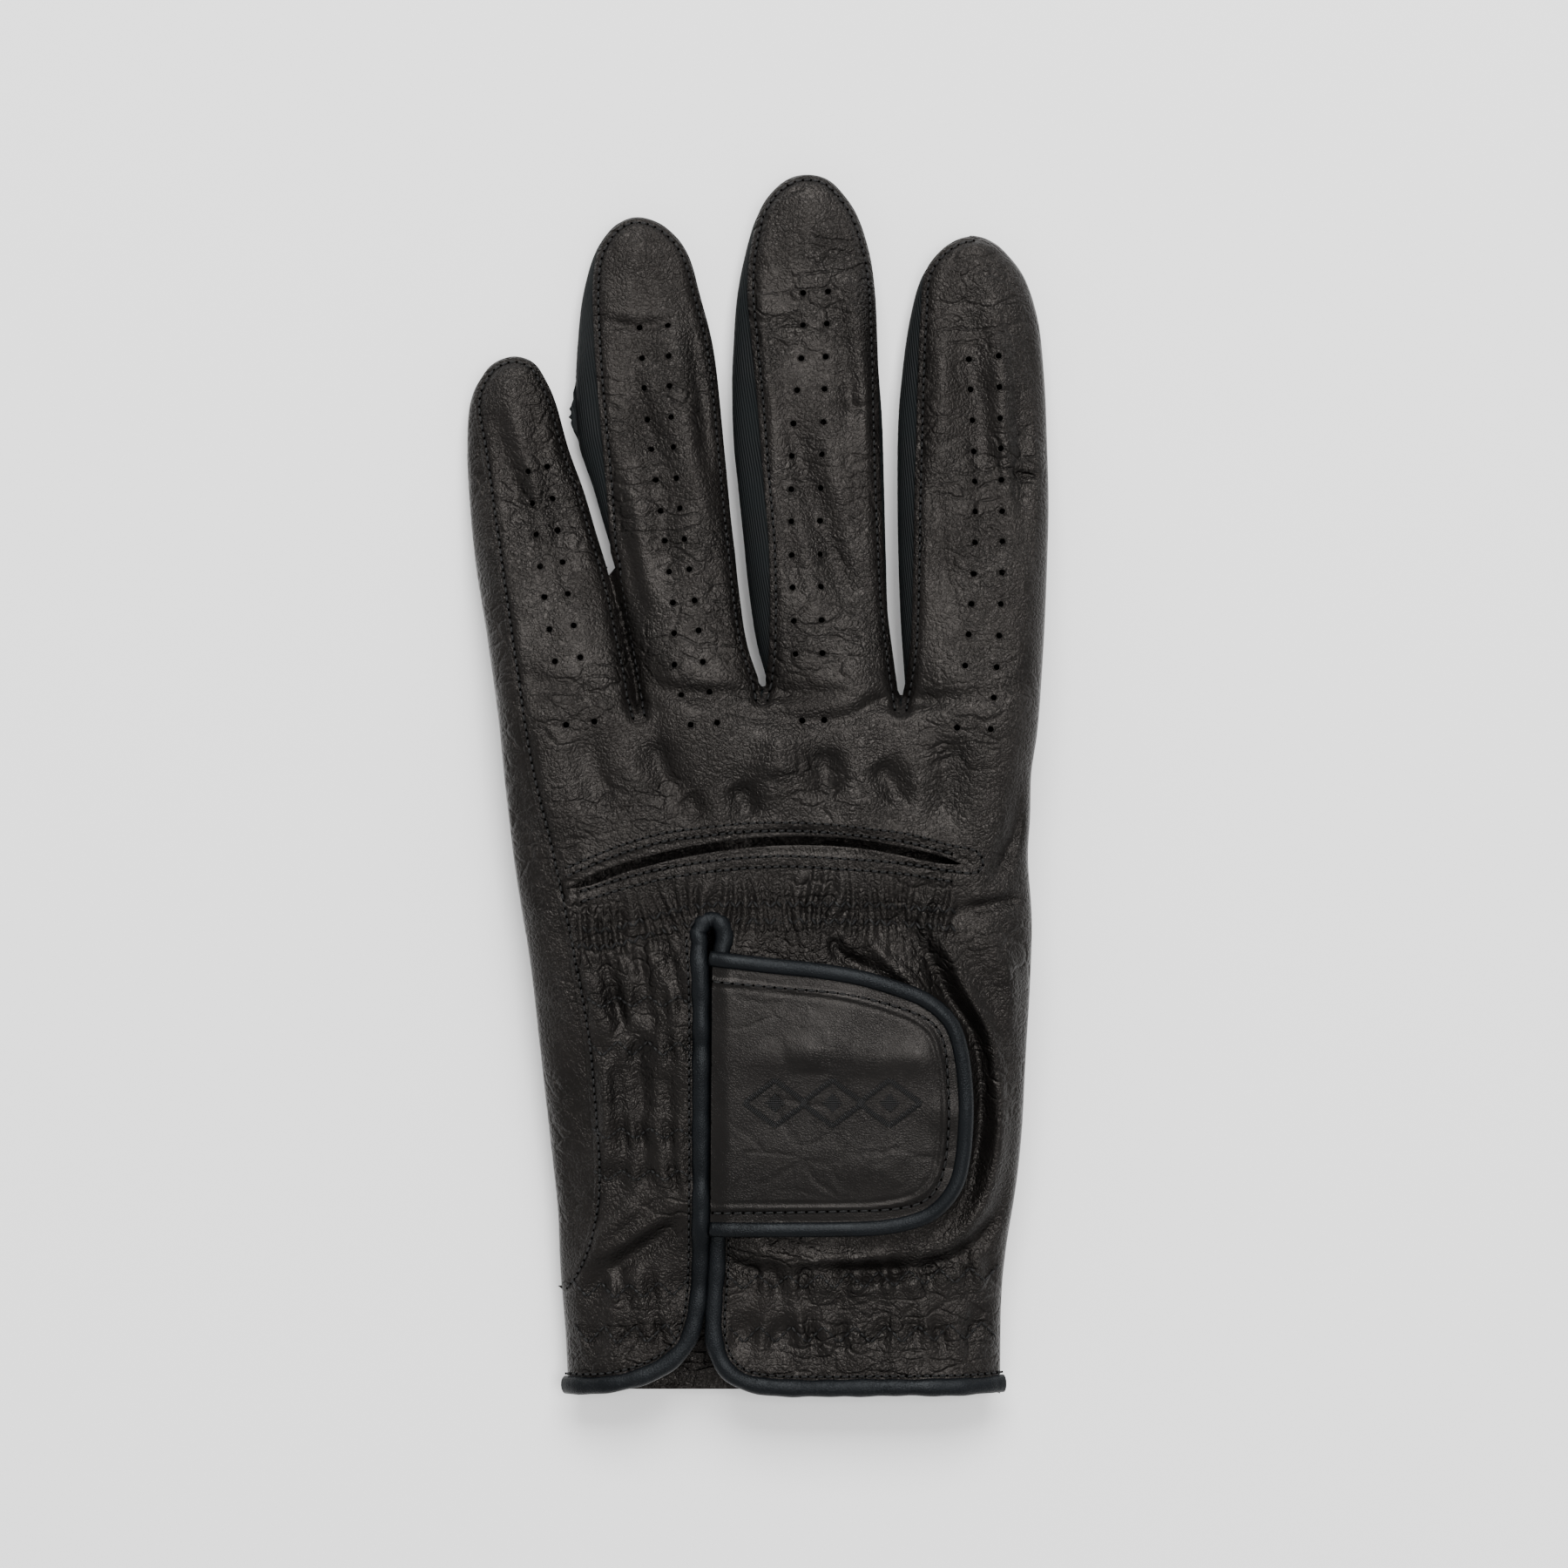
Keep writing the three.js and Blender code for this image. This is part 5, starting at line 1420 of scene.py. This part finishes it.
COARSE = dict(Scale=1000.0, Fineness=0.35, Evenness=0.45)
SMOOTH = dict(Scale=1900.0, Fineness=0.3, Evenness=0.4)
MATERIALS = {
    "grained_leather": surface(
        "grained_leather", (0.0026, 0.0024, 0.0023), (0.0046, 0.004, 0.0037), (0.3, 0.42),
        [(CREASES, dict(Scale=330.0, Stretch=0.4), 0.2), (GRAIN, COARSE, 0.16)], 0.19, (1.0, 0.92, 0.86),
    ),
    "tab_leather": surface(
        "smooth_leather", (0.0026, 0.0025, 0.0025), (0.0044, 0.004, 0.0038), (0.29, 0.38),
        [(CREASES, dict(Scale=160.0, Stretch=0.6), 0.08), (GRAIN, SMOOTH, 0.05)], 0.19, (1.0, 0.93, 0.88),
    ),
    "binding": surface(
        "binding_leather", (0.0018, 0.0022, 0.0028), (0.003, 0.0036, 0.0045), (0.34, 0.46),
            [(GRAIN, SMOOTH, 0.06)], 0.14,
        (0.9, 0.96, 1.0),
    ),
    "fabric": surface(
        "ribbed_fabric", (0.0017, 0.0026, 0.0029), (0.0026, 0.0042, 0.0046), (0.6, 0.75),
        [(RIBS, {"Ribs per Metre": 2000.0}, 0.12)], 0.14, turn=(0, 0, 0.5),
    ),
    "thread": surface(
        "sewing_thread", (0.0024, 0.0024, 0.0025), (0.0044, 0.0043, 0.0044), (0.42, 0.55),
        [(RIBS, {"Ribs per Metre": 5000.0}, 0.05)], 0.22,
    ),
    # Needle holes: near-black with no specular, painted shade standing in for the dark inside of each hole.
    "needle_hole": surface(
        "needle_hole", (0.0004, 0.0004, 0.0004), (0.0006, 0.0006, 0.0006), (0.8, 0.9),
            [(GRAIN, SMOOTH, 0.01)], 0.0,
    ),
    "elastic": surface(
        "elastic_webbing", (0.002, 0.002, 0.0022), (0.0036, 0.0036, 0.0038), (0.6, 0.75),
        [(RIBS, {"Ribs per Metre": 1400.0}, 0.12)], 0.15, turn=(0, 0, 0.79),
    ),
    "nylon": surface(
        "nylon_loops", (0.002, 0.002, 0.0022), (0.0045, 0.0045, 0.0048), (0.5, 0.65),
        [(GRAIN, dict(Scale=1500.0, Fineness=0.6, Evenness=0.7), 0.3)], 0.25,
    ),
    "label": surface(
        "woven_label", (0.35, 0.35, 0.33), (0.42, 0.42, 0.4), (0.7, 0.8),
            [(RIBS, {"Ribs per Metre": 2600.0}, 0.04)], 0.2,
    ),
}


# ---- Threads, rims and embroidery made by the trees, one piece for each body.
SEWN, HOLE_SHADE, PUNCHED = sewn_rows_tree(), hole_shade_dots_tree(), punched_rims_tree()
THREAD, LEATHER_MATERIAL = MATERIALS["thread"], MATERIALS["grained_leather"]


def rows(lines, pitch, thread=0.55):
    return made_by(SEWN, lines, {"Pitch": pitch * MM, "Thread": thread * MM, "Fill": 0.82,
        "Material": THREAD})


def corners(lines, thread=0.55, fill=0.9):
    return made_by(SEWN, lines, {"Keep Corners": True, "Thread": thread * MM, "Fill": fill,
        "Material": THREAD})


# Dots of painted shade where the needle holes are; they are not real holes.
def hole_shade_marks(lines, pitch):
    return made_by(HOLE_SHADE, lines, {"Pitch": pitch * MM, "Material": MATERIALS["needle_hole"]})


join_meshes("hand_threads", [rows(hand_rows, 1.5), corners(zigzags)])
# The hole pieces are dark dots of painted shade, not real holes.
join_meshes("hand_needle_holes", [hole_shade_marks(hand_rows, 1.5)])
for name in FINGERS:
    join_meshes(f"{name}_threads", [rows(finger_rows[name], 1.5)])
    join_meshes(f"{name}_needle_holes", [hole_shade_marks(finger_rows[name], 1.5)])
join_meshes("thumb_threads", [rows(thumb_rows, 1.8)])
join_meshes("tab_needle_holes", [hole_shade_marks(tab_rows, 1.9)])
join_meshes("tab_threads", [rows(tab_rows, 1.9, 0.55), corners(embroidery, 0.36, 1.0)])
for body, centres in rims.items():
    made = made_by(PUNCHED, list(lay(centres, -0.06)[:, None]), {"Material": LEATHER_MATERIAL},
        facing(centres))
    join_meshes(f"{body}_hole_rims", [made])


def finish_piece(name, body, nodes, slot, material, finger=None, folds=False):
    piece = pieces[name]
    piece.data.materials.clear()
    piece.data.materials.append(MATERIALS[material])
    if finger:
        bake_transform(piece)
    elif folds:
        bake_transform(piece)
    else:
        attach(piece, body)
    if nodes:
        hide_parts(*nodes)


HAND = [
    ("hand_back_leather", ["back_panel"], "leather", "grained_leather"),
    ("palm_leather", ["palm_panel"], "leather", "grained_leather"),
    ("hand_side_leather", ["outer_side_panel"], "leather", "grained_leather"),
    ("crotch_little_ring", ["fourchette_little_ring"], "stretch_fabric", "fabric"),
    ("crotch_ring_middle", ["fourchette_ring_middle"], "stretch_fabric", "fabric"),
    ("crotch_middle_index", ["fourchette_middle_index"], "stretch_fabric", "fabric"),
    ("upper_vent_tape", ["vent_facing_upper"], "binding", "binding"),
    ("lower_vent_tape", ["vent_facing_lower"], "binding", "binding"),
    ("knuckle_band_outer", ["knuckle_elastic_outer"], "elastic", "elastic"),
    ("knuckle_band_inner", ["knuckle_elastic_inner"], "elastic", "elastic"),
    ("wrist_band_upper", ["wrist_elastic_upper"], "elastic", "elastic"),
    ("wrist_band_lower", ["wrist_elastic_lower"], "elastic", "elastic"),
    ("cuff_band_outer", ["cuff_elastic_outer"], "elastic", "elastic"),
    ("cuff_band_inner", ["cuff_elastic_inner"], "elastic", "elastic"),
    ("bound_edge", ["opening_binding"], "binding", "binding"),
    ("palm_cuff_hem", ["palm_hem"], "leather", "grained_leather"),
    ("blank_label", ["size_label"], "stretch_fabric", "label"),
    ("loop_field", ["loop_patch"], "hook_and_loop", "nylon"),
    ("thumb_hinge_web", [], "leather", "grained_leather"),
    ("hand_threads", [], "binding", "thread"),
    ("hand_hole_rims", [], "leather", "grained_leather"),
    ("hand_needle_holes", [], "leather", "needle_hole"),
]
for row in HAND:
    finish_piece(row[0], "hand", *row[1:])
FINGER_NODES = {
    "little": (["little_fourchette"], ["little_back"]),
    "ring": (["ring_fourchette_outer", "ring_fourchette_inner"], ["ring_back"]),
    "middle": (["middle_fourchette_outer", "middle_fourchette_inner"], ["middle_back"]),
    "index": (["index_fourchette_outer"], ["index_back"]),
}
for name, (sides, back) in FINGER_NODES.items():
    body = f"{name}_finger"
    finish_piece(f"{name}_back_leather", body, back, "leather", "grained_leather", name)
    finish_piece(f"{name}_front_leather", body, [f"{name}_front"], "leather", "grained_leather", name)
    finish_piece(f"{name}_side_fabric", body, sides, "stretch_fabric", "fabric", name)
    finish_piece(f"{name}_threads", body, [], "binding", "thread", name)
    finish_piece(f"{name}_hole_rims", body, [], "leather", "grained_leather", name)
    finish_piece(f"{name}_needle_holes", body, [], "leather", "needle_hole", name)
finish_piece("little_side_leather", "little_finger", ["little_outer_side"], "leather", "grained_leather",
    "little")
finish_piece("thumb_palm_leather", "thumb", ["thumb_palm_side"], "leather", "grained_leather")
finish_piece("thumb_back_leather", "thumb", ["thumb_back_side"], "leather", "grained_leather")
finish_piece("thumb_outer_strip", "thumb", ["thumb_seam_strip"], "stretch_fabric", "fabric")
finish_piece("thumb_inner_strip", "thumb", ["thumb_web_strip"], "stretch_fabric", "fabric")
finish_piece("thumb_threads", "thumb", [], "binding", "thread")
finish_piece("tab_cover", "closure_tab", ["tab_leather"], "leather", "tab_leather", folds=True)
finish_piece("tab_lining", "closure_tab", ["tab_backing"], "binding", "binding", folds=True)
finish_piece("tab_piping", "closure_tab", ["tab_binding"], "binding", "binding", folds=True)
finish_piece("hook_field", "closure_tab", ["hook_patch"], "hook_and_loop", "nylon")
finish_piece("tab_threads", "closure_tab", [], "binding", "thread", folds=True)
finish_piece("tab_needle_holes", "closure_tab", [], "leather", "needle_hole", folds=True)


# ---- Floor and light.
def make_floor():
    mesh = bpy.data.meshes.new("floor")
    mesh.from_pydata([(-3, -3, -0.0003), (3, -3, -0.0003), (3, 3, -0.0003), (-3, 3, -0.0003)], [],
        [(0, 1, 2, 3)])
    floor = bpy.data.objects.new("floor", mesh)
    bpy.context.scene.collection.objects.link(floor)
    material = bpy.data.materials.new("pale_floor")
    material.use_nodes = True
    shader = material.node_tree.nodes["Principled BSDF"]
    shader.inputs["Base Color"].default_value = (0.93, 0.93, 0.93, 1)
    shader.inputs["Roughness"].default_value = 0.8
    shader.inputs["Specular IOR Level"].default_value = 0.1
    mesh.materials.append(material)


def softbox(name, place, aim, width, height, power):
    data = bpy.data.lights.new(name, "AREA")
    data.shape, data.size, data.size_y, data.energy = "RECTANGLE", width, height, power
    lamp = bpy.data.objects.new(name, data)
    lamp.location = place
    lamp.rotation_euler = (Vector(aim) - Vector(place)).to_track_quat("-Z", "Y").to_euler()
    bpy.context.scene.collection.objects.link(lamp)


make_floor()
softbox("key", place=(0.05, 1.2, 1.45), aim=(0, 0, 0), width=1.2, height=0.9, power=52)
softbox("overhead", place=(0.25, 0.0, 1.35), aim=(0, 0, 0), width=0.45, height=0.35, power=11)
world = bpy.data.worlds.new("studio")
world.use_nodes = True
world.node_tree.nodes["Background"].inputs["Color"].default_value = (1, 1, 1, 1)
world.node_tree.nodes["Background"].inputs["Strength"].default_value = 0.8
bpy.context.scene.world = world
